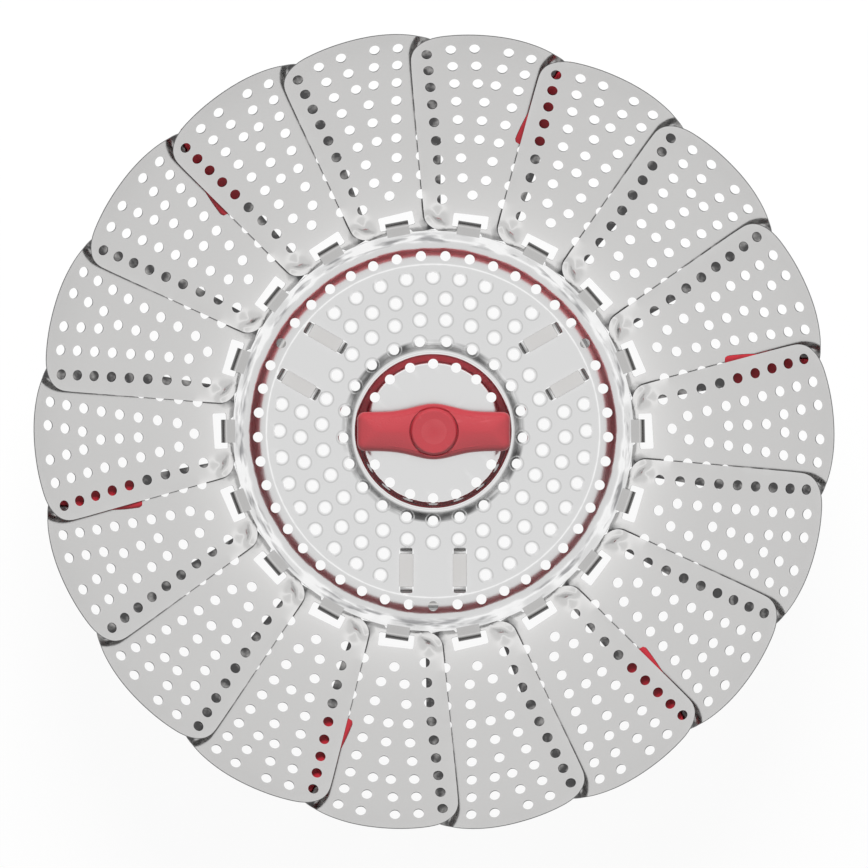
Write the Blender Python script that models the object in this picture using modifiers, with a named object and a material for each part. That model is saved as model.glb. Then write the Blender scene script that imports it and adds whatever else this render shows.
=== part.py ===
"""Folding steamer basket.

A pressed, perforated dish stands on three folding wire legs.  Eighteen overlapping leaves hang on
tongues curled out of its rim and fold up and inwards together.  Six leaves carry a soft guard on
their lower edge.  A T-bar on a rod lifts through a bush in the middle of the dish.

Metres, +Z up.  The origin is on the surface the basket stands on, under the middle of the dish.
"""
import math

import bmesh
import bpy
from mathutils import Matrix, Vector

# Sheet, wire and clearances
SHEET = 0.0005
CLEARANCE = 0.0003
OVERRUN = 0.002
MERGE = 0.00001
FLAT_ANGLE = math.radians(0.5)

# Lifting rod and its bush
ROD_RADIUS = 0.0025
ROD_GROUND_ROOM = 0.0050
BUSH_WALL = 0.0012
BUSH_LIP = 0.0027
BUSH_FLANGE = 0.0012
BUSH_LENGTH = 0.0050
BUSH_HOLE_RADIUS = ROD_RADIUS + BUSH_WALL + 2 * CLEARANCE
BUSH_FLANGE_RADIUS = BUSH_HOLE_RADIUS + BUSH_LIP
NUT_RADIUS = BUSH_FLANGE_RADIUS
NUT_HEIGHT = 0.0025
STOP_RADIUS = 0.0050
STOP_HEIGHT = 0.0012
SCREW_RADIUS = 0.0013
SCREW_LENGTH = 0.0070
SCREW_HEAD_RADIUS = 0.0030
SCREW_HEAD = 0.0014
SCREW_SEAT = 0.0010

# Handle bar and cap, heights counted from the dish floor
BAR_LENGTH = 0.0527
BAR_END_WIDTH = 0.0132
BAR_BOTTOM = 0.0135
BAR_HEIGHT = 0.0070
BAR_DROP = 0.0015
BAR_ROUNDING = 0.0018
BAR_CORNER = 0.0045
BAR_RIM = 0.0013
SWELL_REACH_SHARE = 1.14
HUB_WALL = 0.0032
CAP_RADIUS = 0.00785
CAP_FACE_RADIUS = 0.00715
CAP_HEIGHT = 0.0018
CAP_PROUD = 0.0004
RECESS_DEPTH = 0.0036
BAR_MIDDLE_WIDTH = 2 * (CAP_RADIUS + CLEARANCE + BAR_RIM)
HUB_RADIUS = ROD_RADIUS + CLEARANCE + HUB_WALL

# Dish: radii and heights of the middle of the sheet, heights counted from the floor
FLOOR_Z = 0.033
RIM_RADIUS = 0.0677
RIM_BAND = 0.0050
RIM_HEIGHT = 0.0060
FLANGE_RUN = 0.0055
FLANGE_HEIGHT = 0.0044
FLANGE_RADIUS = RIM_RADIUS - RIM_BAND
CREASE_RADIUS = FLANGE_RADIUS - FLANGE_RUN
FLANGE_RING_INSET = 0.0023
FLANGE_RING_RADIUS = CREASE_RADIUS + FLANGE_RING_INSET
RING_PITCH = 0.0072
BEAD_RING_INSET = 0.0005
BEAD_RUN = 0.0036
BEAD_TOP = 0.0014
BEAD_HEIGHT = 0.0025
BEAD_FOOT_RADIUS = FLANGE_RING_RADIUS - 4 * RING_PITCH + BEAD_RING_INSET
BEAD_OUTER_RADIUS = BEAD_FOOT_RADIUS - BEAD_RUN
BEAD_INNER_RADIUS = BEAD_OUTER_RADIUS - BEAD_TOP
WELL_RADIUS = BEAD_INNER_RADIUS - BEAD_RUN
DISH_STEPS = 30

# Perforation: each ring is its radius, its count, the first hole's angle and the distance each side
# of a leg that is left unpierced
HOLE_RADIUS = 0.00175
HOLE_SIDES = 4
LOOP_OFFSET = 0.0091
LOOP_STRAP_WIDTH = 0.0042
LOOP_SLOT_WIDTH = LOOP_STRAP_WIDTH + 2 * CLEARANCE
LEG_ROOM = LOOP_OFFSET + LOOP_SLOT_WIDTH / 2 + HOLE_RADIUS + CLEARANCE
HOLE_RINGS = (
    (WELL_RADIUS + CLEARANCE, 18, 90.0, 0.0),
    (FLANGE_RING_RADIUS - 4 * RING_PITCH - CLEARANCE, 21, 270.0, 0.0),
    (FLANGE_RING_RADIUS - 3 * RING_PITCH, 27, 270.0, 0.0),
    (FLANGE_RING_RADIUS - 2 * RING_PITCH, 33, 270.0, LEG_ROOM),
    (FLANGE_RING_RADIUS - RING_PITCH, 36, 270.0, LEG_ROOM),
    (FLANGE_RING_RADIUS, 45, 270.0, 0.0),
)

# Lanced loops, two at each leg, and the bracket plate that they hold
LEG_ANGLES = (30.0, 150.0, 270.0)
BRACKET_THICKNESS = 0.0007
BRACKET_END = 0.0013
LOOP_SETBACK = 0.0018
LOOP_CREASE_GAP = 0.0009
LOOP_RAMP = 0.0016
LOOP_INNER_RADIUS = FLANGE_RING_RADIUS - 3 * RING_PITCH + LOOP_SETBACK
LOOP_EDGE = LOOP_OFFSET + LOOP_STRAP_WIDTH / 2
LOOP_OUTER_RADIUS = math.sqrt(CREASE_RADIUS ** 2 - LOOP_EDGE ** 2) - LOOP_CREASE_GAP
LOOP_DROP = SHEET + BRACKET_THICKNESS + 2 * CLEARANCE
BRACKET_INNER_RADIUS = LOOP_INNER_RADIUS + LOOP_RAMP + 2 * CLEARANCE
BRACKET_OUTER_RADIUS = LOOP_OUTER_RADIUS - LOOP_RAMP - 2 * CLEARANCE
BRACKET_HALF_SPAN = LOOP_EDGE + BRACKET_END

# Leg: a closed wire loop in the bracket's curled barrel
WIRE_RADIUS = 0.0015
WIRE_BORE = WIRE_RADIUS + CLEARANCE
LEG_HALF_WIDTH = 0.0054
LEG_CORNER = 0.0019
LEG_SPLAY = math.radians(9.8)
FOOT_FLAT = 0.0003
BARREL_REACH = 0.0040
BARREL_END_PLAY = 0.0004
BARREL_WRAP = math.radians(290.0)
BARREL_STEPS = 9
BARREL_HALF_LENGTH = LEG_HALF_WIDTH - LEG_CORNER - BARREL_END_PLAY
LEG_PIVOT_RADIUS = BRACKET_OUTER_RADIUS + BARREL_REACH

# Hinge tongues on the rim and the leaves' hinge
LEAF_COUNT = 18
HINGE_OUT = 0.0016
HINGE_RADIUS = RIM_RADIUS + HINGE_OUT
TONGUE_WIDTH = 0.0078
TONGUE_BORE = 0.0020
TONGUE_SKEW = math.radians(5.0)
TONGUE_WRAP = math.radians(250.0)
TONGUE_STEPS = 5
HINGE_SKEW = math.radians(10.0)

# Leaf: lengths along its arc from the hinge, widths each side of its centre line
LEAF_LENGTH = 0.0706
LEAF_LIP = TONGUE_BORE / 2
LEAF_HEEL = TONGUE_BORE / 4
LEAF_ROOT_SLOPE = math.radians(18.0)
LEAF_TIP_SLOPE = math.radians(40.0)
LEAF_YAW = math.radians(3.8)
LEAF_ROLL = math.radians(3.2)
PANEL_ROOT_LEFT = 0.0150
PANEL_TIP_LEFT = 0.0291
PANEL_ROOT_RIGHT = 0.0091
PANEL_TIP_RIGHT = 0.0200
FLANGE_ROOT_WIDTH = 0.0035
FLANGE_TIP_WIDTH = 0.0105
FLANGE_ANGLE = math.radians(12.0)
TIP_RADIUS = 0.0370
TIP_CORNER = 0.0088
TIP_SHARES = (0.8, 0.3, -0.3, -1.0)
CORNER_SHARES = (0.30, 0.65)
CORNER_BULGE_SHARE = 0.125
WINDOW_PLAY = 0.0021
WINDOW_REACH = 0.0028
WINDOW_WIDTH = TONGUE_WIDTH + 2 * WINDOW_PLAY
WINDOW_INNER = TONGUE_BORE / 4
WINDOW_OUTER = TONGUE_BORE + SHEET + WINDOW_REACH
SLOTS_IN_ROWS = (2, 3, 4)
TIP_MARGIN = 0.0116
ROW_PITCH = (LEAF_LENGTH - TIP_MARGIN) / (len(SLOTS_IN_ROWS) + 0.5)
ROW_ARC = 0.0520
SLOT_WEB = 0.0022
COLUMN_MIDDLE = 0.0008
COLUMN_FIRST = 0.0054
COLUMN_SPREAD = math.radians(10.9)

# Soft guard on the flange of every third leaf
GUARD_EVERY = 3
GUARD_FIRST = 1
GUARD_LENGTH = 0.0380
GUARD_START = LEAF_LENGTH - GUARD_LENGTH
GUARD_WALL = 0.0008
GUARD_LAP = 0.0075
GUARD_NOSE_SHARE = 0.35

TURN_STEPS = 16
WIRE_RESOLUTION = 2

for old in list(bpy.data.objects):
    bpy.data.objects.remove(old, do_unlink=True)

parts = bpy.data.collections.new("steamer_basket")
cutters = bpy.data.collections.new("cutters")
bpy.context.scene.collection.children.link(parts)
bpy.context.scene.collection.children.link(cutters)


def material(name, colour, roughness, metallic):
    made = bpy.data.materials.new(name)
    made.use_nodes = True
    shader = made.node_tree.nodes["Principled BSDF"]
    shader.inputs["Base Color"].default_value = (*colour, 1.0)
    shader.inputs["Roughness"].default_value = roughness
    shader.inputs["Metallic"].default_value = metallic
    return made


STEEL = material("satin_steel", (0.62, 0.61, 0.60), 0.30, 1.0)
WIRE = material("wire_steel", (0.42, 0.42, 0.42), 0.35, 1.0)
RED_PLASTIC = material("red_plastic", (0.56, 0.03, 0.05), 0.40, 0.0)
RED_SILICONE = material("red_silicone", (0.45, 0.02, 0.04), 0.60, 0.0)
DARK_PLASTIC = material("dark_plastic", (0.08, 0.08, 0.08), 0.50, 0.0)


def add(name, mesh, look, place=None):
    """A finished piece in the basket's collection."""
    piece = bpy.data.objects.new(name, mesh)
    parts.objects.link(piece)
    if not mesh.materials:
        mesh.materials.append(look)
    if place is not None:
        piece.matrix_world = place
    return piece


def add_cutter(name, mesh, place=None):
    """A tool body, left out of the basket."""
    tool = bpy.data.objects.new(name, mesh)
    cutters.objects.link(tool)
    tool.hide_render = True
    tool.display_type = "WIRE"
    if place is not None:
        tool.matrix_world = place
    return tool


def boolean(piece, tool, operation):
    modifier = piece.modifiers.new(operation.lower(), "BOOLEAN")
    modifier.operation = operation
    modifier.object = tool
    modifier.solver = "EXACT"


def merge_flats(piece):
    """Makes whole polygons of the facets that lie in one plane."""
    flats = piece.modifiers.new("flats", "DECIMATE")
    flats.decimate_type = "DISSOLVE"
    flats.angle_limit = FLAT_ANGLE


def finished_mesh(piece):
    """The mesh of a piece with its modifiers, welded."""
    bpy.context.view_layer.update()
    graph = bpy.context.evaluated_depsgraph_get()
    mesh = bpy.data.meshes.new_from_object(piece.evaluated_get(graph))
    work = bmesh.new()
    work.from_mesh(mesh)
    bmesh.ops.remove_doubles(work, verts=work.verts, dist=MERGE)
    work.to_mesh(mesh)
    work.free()
    return mesh


def smooth(mesh, angle=math.radians(35.0)):
    mesh.shade_smooth()
    mesh.set_sharp_from_angle(angle=angle)
    return mesh


def turned(name, profile, look, steps=TURN_STEPS):
    """A solid of revolution: the profile runs from the top of the axis down its outer side."""
    mesh = bpy.data.meshes.new(name)
    mesh.from_pydata([(r, 0.0, z) for r, z in profile],
                     [(i, i + 1) for i in range(len(profile) - 1)], [])
    piece = bpy.data.objects.new(name, mesh)
    cutters.objects.link(piece)
    screw = piece.modifiers.new("turn", "SCREW")
    screw.axis = "Z"
    screw.steps = steps
    screw.render_steps = steps
    screw.use_merge_vertices = True
    screw.merge_threshold = MERGE
    result = finished_mesh(piece)
    bpy.data.objects.remove(piece, do_unlink=True)
    if look is None:
        return add_cutter(name, result)
    return add(name, smooth(result), look)


def ring_profile(inner, outer, bottom, top):
    """A closed rectangular section for a ring, outer side first."""
    return [(inner, top), (outer, top), (outer, bottom), (inner, bottom), (inner, top)]


def prism_mesh(name, outline, half_thickness):
    """A flat plate with the given outline, its faces left as whole polygons."""
    curve = bpy.data.curves.new(name, "CURVE")
    curve.dimensions = "2D"
    curve.fill_mode = "BOTH"
    curve.extrude = half_thickness
    spline = curve.splines.new("POLY")
    spline.points.add(len(outline) - 1)
    for point, (x, y) in zip(spline.points, outline):
        point.co = (x, y, 0.0, 1.0)
    spline.use_cyclic_u = True
    plate = bpy.data.objects.new(name, curve)
    cutters.objects.link(plate)
    mesh = finished_mesh(plate)
    bpy.data.objects.remove(plate, do_unlink=True)
    work = bmesh.new()
    work.from_mesh(mesh)
    bmesh.ops.dissolve_limit(work, angle_limit=FLAT_ANGLE, verts=work.verts, edges=work.edges)
    bmesh.ops.recalc_face_normals(work, faces=work.faces)
    work.to_mesh(mesh)
    work.free()
    return mesh


def joined(name, meshes_and_places):
    """Several meshes, each with its placing matrix, in one mesh."""
    work = bmesh.new()
    for mesh, place in meshes_and_places:
        start = len(work.verts)
        work.from_mesh(mesh)
        work.verts.ensure_lookup_table()
        bmesh.ops.transform(work, matrix=place, verts=work.verts[start:])
    mesh = bpy.data.meshes.new(name)
    work.to_mesh(mesh)
    work.free()
    return mesh


def around(degrees):
    return Matrix.Rotation(math.radians(degrees), 4, "Z")


def shifted(x, y, z):
    return Matrix.Translation((x, y, z))


def stood_up():
    """Turns a plate drawn in X and Y so that it is drawn in X and Z, its thickness along Y."""
    return Matrix.Rotation(math.radians(90.0), 4, "X")


def hole_prism():
    """A punched hole's prism, of the same area as the round hole."""
    radius = HOLE_RADIUS * math.sqrt(math.pi / (HOLE_SIDES / 2 * math.sin(math.tau / HOLE_SIDES)))
    work = bmesh.new()
    bmesh.ops.create_cone(work, cap_ends=True, segments=HOLE_SIDES, radius1=radius, radius2=radius,
                          depth=2.0 * (FLANGE_HEIGHT + OVERRUN),
                          matrix=Matrix.Rotation(math.pi / HOLE_SIDES, 4, "Z"))
    mesh = bpy.data.meshes.new("hole")
    work.to_mesh(mesh)
    work.free()
    return mesh


def curl_section(start_x, axis_x, bore, thickness, wrap, steps):
    """Section of a strip that runs out level over an axis and curls down round it.

    The axis is at the height zero; the strip's lower face leaves at the bore's height.
    """
    outer = bore + thickness
    outside = [(start_x, outer)]
    inside = [(start_x, bore)]
    for i in range(steps + 1):
        angle = math.radians(90.0) - wrap * i / steps
        outside.append((axis_x + outer * math.cos(angle), outer * math.sin(angle)))
        inside.append((axis_x + bore * math.cos(angle), bore * math.sin(angle)))
    return outside + inside[::-1]


def from_leg(angle, leg_angles=LEG_ANGLES):
    """Degrees from an angle to the nearest leg."""
    return min(abs((angle - leg + 180.0) % 360.0 - 180.0) for leg in leg_angles)


# Dish
def dish_profile():
    return [
        (BUSH_HOLE_RADIUS, 0.0),
        (WELL_RADIUS, 0.0),
        (BEAD_INNER_RADIUS, BEAD_HEIGHT),
        (BEAD_OUTER_RADIUS, BEAD_HEIGHT),
        (BEAD_FOOT_RADIUS, 0.0),
        (CREASE_RADIUS, 0.0),
        (FLANGE_RADIUS, FLANGE_HEIGHT),
        (RIM_RADIUS, RIM_HEIGHT),
    ]


HINGE_Z = FLOOR_Z + RIM_HEIGHT - SHEET / 2 - TONGUE_BORE


def tongue_mesh():
    """One hinge tongue: it starts inside the flange and curls down round the leaf's root bar."""
    section = curl_section(RIM_RADIUS - 2 * SHEET, HINGE_RADIUS, TONGUE_BORE, SHEET, TONGUE_WRAP,
                           TONGUE_STEPS)
    return prism_mesh("tongue", [(x - HINGE_RADIUS, z) for x, z in section], TONGUE_WIDTH / 2)


def strap_mesh():
    """The strap of a lanced loop, pushed down between its two ends."""
    half = SHEET / 2
    top = [
        (LOOP_INNER_RADIUS - SHEET, 0.0),
        (LOOP_INNER_RADIUS + LOOP_RAMP, -LOOP_DROP),
        (LOOP_OUTER_RADIUS - LOOP_RAMP, -LOOP_DROP),
        (LOOP_OUTER_RADIUS + SHEET, 0.0),
    ]
    section = [(x, z + half) for x, z in top] + [(x, z - half) for x, z in top[::-1]]
    return prism_mesh("strap", section, LOOP_STRAP_WIDTH / 2)


def slot_outline(steps=2):
    """A slot with round ends, in X and Y."""
    radius = LOOP_SLOT_WIDTH / 2
    points = []
    for centre, first in ((LOOP_OUTER_RADIUS - radius, -90.0), (LOOP_INNER_RADIUS + radius, 90.0)):
        for i in range(steps + 1):
            angle = math.radians(first + 180.0 * i / steps)
            points.append((centre + radius * math.cos(angle), radius * math.sin(angle)))
    return points


def make_dish():
    profile = dish_profile()
    mesh = bpy.data.meshes.new("base_dish")
    mesh.from_pydata([(r, 0.0, z + FLOOR_Z) for r, z in profile],
                     [(i, i + 1) for i in range(len(profile) - 1)], [])
    dish = add("base_dish", mesh, STEEL)
    screw = dish.modifiers.new("turn", "SCREW")
    screw.steps = DISH_STEPS
    screw.render_steps = DISH_STEPS
    screw.use_merge_vertices = True
    screw.merge_threshold = MERGE
    sheet = dish.modifiers.new("sheet", "SOLIDIFY")
    sheet.thickness = SHEET
    sheet.offset = 0.0
    merge_flats(dish)

    slot = prism_mesh("slot", slot_outline(), SHEET + CLEARANCE)
    slots = [(slot, around(leg) @ shifted(0.0, side * LOOP_OFFSET, FLOOR_Z))
             for leg in LEG_ANGLES for side in (-1, 1)]
    boolean(dish, add_cutter("slots", joined("slots", slots)), "DIFFERENCE")

    strap = strap_mesh()
    straps = [(strap, around(leg) @ shifted(0.0, side * LOOP_OFFSET, FLOOR_Z) @ stood_up())
              for leg in LEG_ANGLES for side in (-1, 1)]
    boolean(dish, add_cutter("straps", joined("straps", straps)), "UNION")

    tongue = tongue_mesh()
    seat = (shifted(HINGE_RADIUS, 0.0, HINGE_Z) @ Matrix.Rotation(TONGUE_SKEW, 4, "Z") @ stood_up())
    tongues = [(tongue, around(360.0 * k / LEAF_COUNT) @ seat) for k in range(LEAF_COUNT)]
    boolean(dish, add_cutter("tongues", joined("tongues", tongues)), "UNION")

    hole = hole_prism()
    holes = []
    for radius, count, first, bare in HOLE_RINGS:
        for k in range(count):
            angle = first + 360.0 * k / count
            if radius * math.radians(from_leg(angle)) >= bare:
                holes.append((hole, around(angle) @ shifted(radius, 0.0, FLOOR_Z)))
    boolean(dish, add_cutter("holes", joined("holes", holes)), "DIFFERENCE")
    merge_flats(dish)
    return dish


# Leaf, drawn flat and then bent.  Flat X runs along the leaf from the hinge, flat Y to its left
def panel_left(a):
    return PANEL_ROOT_LEFT + (PANEL_TIP_LEFT - PANEL_ROOT_LEFT) * a / LEAF_LENGTH


def bend_line(a):
    return -PANEL_ROOT_RIGHT - (PANEL_TIP_RIGHT - PANEL_ROOT_RIGHT) * a / LEAF_LENGTH


def flange_edge(a):
    return bend_line(a) - FLANGE_ROOT_WIDTH - (FLANGE_TIP_WIDTH - FLANGE_ROOT_WIDTH) * a / LEAF_LENGTH


def tip_edge(b):
    """How far out the rounded tip lies at a distance to the side."""
    return LEAF_LENGTH - b * b / (2.0 * TIP_RADIUS)


def flange_corner():
    """The flange's cut-off outer corner, from its edge round to the tip of the bend line."""
    end = tip_edge(PANEL_TIP_RIGHT) - FLANGE_TIP_WIDTH / 2
    edge = end - FLANGE_TIP_WIDTH / 2
    bulge = (flange_edge(end) + flange_edge(edge)) / 2 + CORNER_BULGE_SHARE * TIP_CORNER
    return [(edge, flange_edge(edge)), (end, bulge), (tip_edge(PANEL_TIP_RIGHT), -PANEL_TIP_RIGHT)]


def leaf_outline():
    left_start = LEAF_LIP + TONGUE_BORE
    corner_a = tip_edge(PANEL_TIP_LEFT - TIP_CORNER)
    points = [
        (-LEAF_LIP, bend_line(0.0)),
        (-LEAF_LIP, WINDOW_WIDTH / 2 + left_start),
        (LEAF_HEEL, panel_left(0.0)),
        (corner_a - TIP_CORNER, panel_left(corner_a - TIP_CORNER)),
    ]
    for share in CORNER_SHARES:
        angle = math.radians(90.0) * share
        points.append((corner_a - TIP_CORNER * (1.0 - math.sin(angle)),
                       PANEL_TIP_LEFT - TIP_CORNER * (1.0 - math.cos(angle)) - CLEARANCE))
    for share in TIP_SHARES:
        b = share * PANEL_TIP_RIGHT
        points.append((tip_edge(b), b))
    points += flange_corner()[-2::-1]
    points.append((left_start, flange_edge(left_start)))
    return points[::-1]


def bent(a, b, n):
    """Where a point of the flat leaf lies once bent, seen along the hinge from its middle.

    The arc is taken in straight strips, one to a row of slots, so that every facet stays flat.
    """
    turn = (LEAF_TIP_SLOPE - LEAF_ROOT_SLOPE) * ROW_PITCH / LEAF_LENGTH
    line = bend_line(a)
    if b < line:
        n -= (line - b) * math.sin(FLANGE_ANGLE)
        b = line - (line - b) * math.cos(FLANGE_ANGLE)
    out = 0.0
    up = 0.0
    slope = LEAF_ROOT_SLOPE + turn / 2
    left = a
    for _ in SLOTS_IN_ROWS:
        if left > ROW_PITCH:
            out += ROW_PITCH * math.cos(slope)
            up += ROW_PITCH * math.sin(slope)
            left -= ROW_PITCH
            slope += turn
    out += left * math.cos(slope) - n * math.sin(slope)
    up += left * math.sin(slope) + n * math.cos(slope)
    point = Matrix.Rotation(LEAF_ROLL, 3, "X") @ Vector((out, b, up))
    return Matrix.Rotation(LEAF_YAW - HINGE_SKEW, 3, "Z") @ point


def cut_at(mesh, places):
    """Scores a flat plate along planes given by a point and a normal."""
    work = bmesh.new()
    work.from_mesh(mesh)
    for point, normal in places:
        geometry = work.verts[:] + work.edges[:] + work.faces[:]
        bmesh.ops.bisect_plane(work, geom=geometry, dist=MERGE / 10.0, plane_co=point, plane_no=normal)
    work.to_mesh(mesh)
    work.free()
    return mesh


def bend_mesh(mesh):
    for vertex in mesh.vertices:
        vertex.co = bent(*vertex.co)
    return mesh


def bend_planes():
    """The planes of the bend stations, and of the fold between panel and flange."""
    planes = [((ROW_PITCH * row, 0.0, 0.0), (1.0, 0.0, 0.0)) for row, _ in enumerate(SLOTS_IN_ROWS, 1)]
    fold = (bend_line(LEAF_LENGTH) - bend_line(0.0), -LEAF_LENGTH, 0.0)
    return planes + [((0.0, bend_line(0.0), 0.0), fold)]


def box_mesh(name, length, width):
    """A box that cuts through a flat sheet."""
    work = bmesh.new()
    bmesh.ops.create_cube(work, size=1.0)
    bmesh.ops.transform(work, matrix=Matrix.Diagonal((length, width, OVERRUN, 1.0)), verts=work.verts)
    mesh = bpy.data.meshes.new(name)
    work.to_mesh(mesh)
    work.free()
    return mesh


def leaf_mesh():
    mesh = prism_mesh("leaf", leaf_outline(), SHEET / 2)
    blank = add_cutter("leaf_blank", cut_at(mesh, bend_planes()))
    window = box_mesh("window", WINDOW_OUTER - WINDOW_INNER, WINDOW_WIDTH)
    cuts = [(window, shifted((WINDOW_INNER + WINDOW_OUTER) / 2, 0.0, 0.0))]
    # each slot stands for two or three round holes of one column
    slot = box_mesh("slot", ROW_PITCH - SLOT_WEB, 2 * HOLE_RADIUS)
    for row, count in enumerate(SLOTS_IN_ROWS, 1):
        a = (row + 0.5) * ROW_PITCH
        side = COLUMN_FIRST + (row - 1) * ROW_PITCH * math.tan(COLUMN_SPREAD)
        for i in range(count):
            share = 2.0 * i / (count - 1) - 1.0
            b = side * share
            turn = Matrix.Rotation(COLUMN_SPREAD * share, 4, "Z")
            cuts.append((slot, shifted(a - b * b / (2.0 * ROW_ARC), COLUMN_MIDDLE + b, 0.0) @ turn))
    boolean(blank, add_cutter("leaf_slots", joined("leaf_slots", cuts)), "DIFFERENCE")
    flat = finished_mesh(blank)
    bpy.data.objects.remove(blank, do_unlink=True)
    flat.name = "leaf"
    return bend_mesh(flat)


def offset_path(points, distance):
    """A path moved to its right by a distance, its corners kept sharp."""
    moved = []
    for i, (x, y) in enumerate(points):
        before = Vector(points[max(i - 1, 0)])
        after = Vector(points[min(i + 1, len(points) - 1)])
        here = Vector((x, y))
        first = (here - before).normalized() if i else (after - here).normalized()
        last = (after - here).normalized() if i < len(points) - 1 else first
        middle = (first + last).normalized()
        reach = distance / middle.dot(first)
        moved.append((x + middle.y * reach, y - middle.x * reach))
    return moved


def guard_mesh():
    """A sleeve over the flange's edge: a thick plate with a slot for the sheet."""
    corner = flange_corner()
    start = (GUARD_START, flange_edge(GUARD_START))
    before_start = (GUARD_START - OVERRUN, flange_edge(GUARD_START - OVERRUN))
    nose = tuple(Vector(corner[-1]).lerp(Vector(corner[-2]), GUARD_NOSE_SHARE))
    outer = offset_path([start] + corner[:-1] + [nose], CLEARANCE + GUARD_WALL)
    outer += [(nose[0] - GUARD_LAP, nose[1]), (GUARD_START, start[1] + GUARD_LAP)]
    slot = offset_path([before_start] + corner, CLEARANCE)
    slot += [(corner[-1][0], 0.0), (before_start[0], 0.0)]
    body = prism_mesh("guard", outer, SHEET / 2 + CLEARANCE + GUARD_WALL)
    blank = add_cutter("guard_blank", body)
    slot_mesh = prism_mesh("guard_slot", slot, SHEET / 2 + CLEARANCE)
    boolean(blank, add_cutter("guard_slot", slot_mesh), "DIFFERENCE")
    flat = finished_mesh(blank)
    bpy.data.objects.remove(blank, do_unlink=True)
    flat.name = "edge_guard"
    return bend_mesh(cut_at(flat, bend_planes()))


def make_leaves():
    leaf = leaf_mesh()
    guard = guard_mesh()
    for k in range(LEAF_COUNT):
        place = (around(360.0 * k / LEAF_COUNT) @ shifted(HINGE_RADIUS, 0.0, HINGE_Z)
                 @ Matrix.Rotation(HINGE_SKEW, 4, "Z"))
        add("leaf_%02d" % (k + 1), leaf, STEEL, place)
        if k % GUARD_EVERY == GUARD_FIRST:
            add("edge_guard_%d" % (k // GUARD_EVERY + 1), guard, RED_SILICONE, place)


# Legs
BRACKET_Z = FLOOR_Z - SHEET / 2 - CLEARANCE - BRACKET_THICKNESS
LEG_PIVOT_Z = BRACKET_Z - WIRE_BORE


def bracket_mesh():
    plate = bmesh.new()
    bmesh.ops.create_cube(plate, size=1.0)
    mesh = bpy.data.meshes.new("plate")
    plate.to_mesh(mesh)
    plate.free()
    length = BRACKET_OUTER_RADIUS - BRACKET_INNER_RADIUS
    size = Matrix.Diagonal((length, 2.0 * BRACKET_HALF_SPAN, BRACKET_THICKNESS, 1.0))
    middle = (BRACKET_OUTER_RADIUS + BRACKET_INNER_RADIUS) / 2 - LEG_PIVOT_RADIUS
    mesh.transform(shifted(middle, 0.0, WIRE_BORE + BRACKET_THICKNESS / 2) @ size)
    blank = add_cutter("bracket_blank", mesh)
    section = curl_section(BRACKET_OUTER_RADIUS - LEG_PIVOT_RADIUS - OVERRUN, 0.0, WIRE_BORE,
                           BRACKET_THICKNESS, BARREL_WRAP, BARREL_STEPS)
    barrel = prism_mesh("barrel", section, BARREL_HALF_LENGTH)
    boolean(blank, add_cutter("barrel", barrel, stood_up()), "UNION")
    made = finished_mesh(blank)
    bpy.data.objects.remove(blank, do_unlink=True)
    made.name = "leg_bracket"
    return made


def wire_leg_mesh():
    """A closed wire loop hanging from its pivot bar, splayed outwards, flattened where it stands."""
    length = (LEG_PIVOT_Z - WIRE_RADIUS + FOOT_FLAT) / math.cos(LEG_SPLAY)
    curve = bpy.data.curves.new("wire_leg", "CURVE")
    curve.dimensions = "3D"
    curve.bevel_depth = WIRE_RADIUS
    curve.bevel_resolution = WIRE_RESOLUTION
    corners = ((LEG_HALF_WIDTH, 0.0, 0.0), (-LEG_HALF_WIDTH, 0.0, 90.0),
               (-LEG_HALF_WIDTH, -length, 180.0), (LEG_HALF_WIDTH, -length, 270.0))
    route = []
    for y, z, first in corners:
        centre_y = y - math.copysign(LEG_CORNER, y)
        centre_z = z - LEG_CORNER if z == 0.0 else z + LEG_CORNER
        for step in range(2):
            angle = math.radians(first + 22.5 + 45.0 * step)
            route.append((centre_y + LEG_CORNER * math.cos(angle), centre_z + LEG_CORNER * math.sin(angle)))
    spline = curve.splines.new("POLY")
    spline.points.add(len(route) - 1)
    for point, (y, z) in zip(spline.points, route):
        point.co = (0.0, y, z, 1.0)
    spline.use_cyclic_u = True
    loop = bpy.data.objects.new("wire_leg", curve)
    cutters.objects.link(loop)
    mesh = finished_mesh(loop)
    bpy.data.objects.remove(loop, do_unlink=True)
    mesh.transform(Matrix.Rotation(-LEG_SPLAY, 4, "Y"))
    blank = add_cutter("leg_blank", mesh)
    ground = bmesh.new()
    bmesh.ops.create_cube(ground, size=1.0)
    box = bpy.data.meshes.new("ground")
    ground.to_mesh(box)
    ground.free()
    size = Matrix.Diagonal((LEG_PIVOT_RADIUS, 4.0 * LEG_HALF_WIDTH, OVERRUN, 1.0))
    box.transform(shifted(0.0, 0.0, -LEG_PIVOT_Z - OVERRUN / 2) @ size)
    boolean(blank, add_cutter("ground", box), "DIFFERENCE")
    made = finished_mesh(blank)
    bpy.data.objects.remove(blank, do_unlink=True)
    made.name = "wire_leg"
    return smooth(made)


def make_legs():
    bracket = bracket_mesh()
    wire = wire_leg_mesh()
    for number, angle in enumerate(LEG_ANGLES, 1):
        place = around(angle) @ shifted(LEG_PIVOT_RADIUS, 0.0, LEG_PIVOT_Z)
        add("leg_bracket_%d" % number, bracket, STEEL, place)
        add("wire_leg_%d" % number, wire, WIRE, place)


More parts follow.
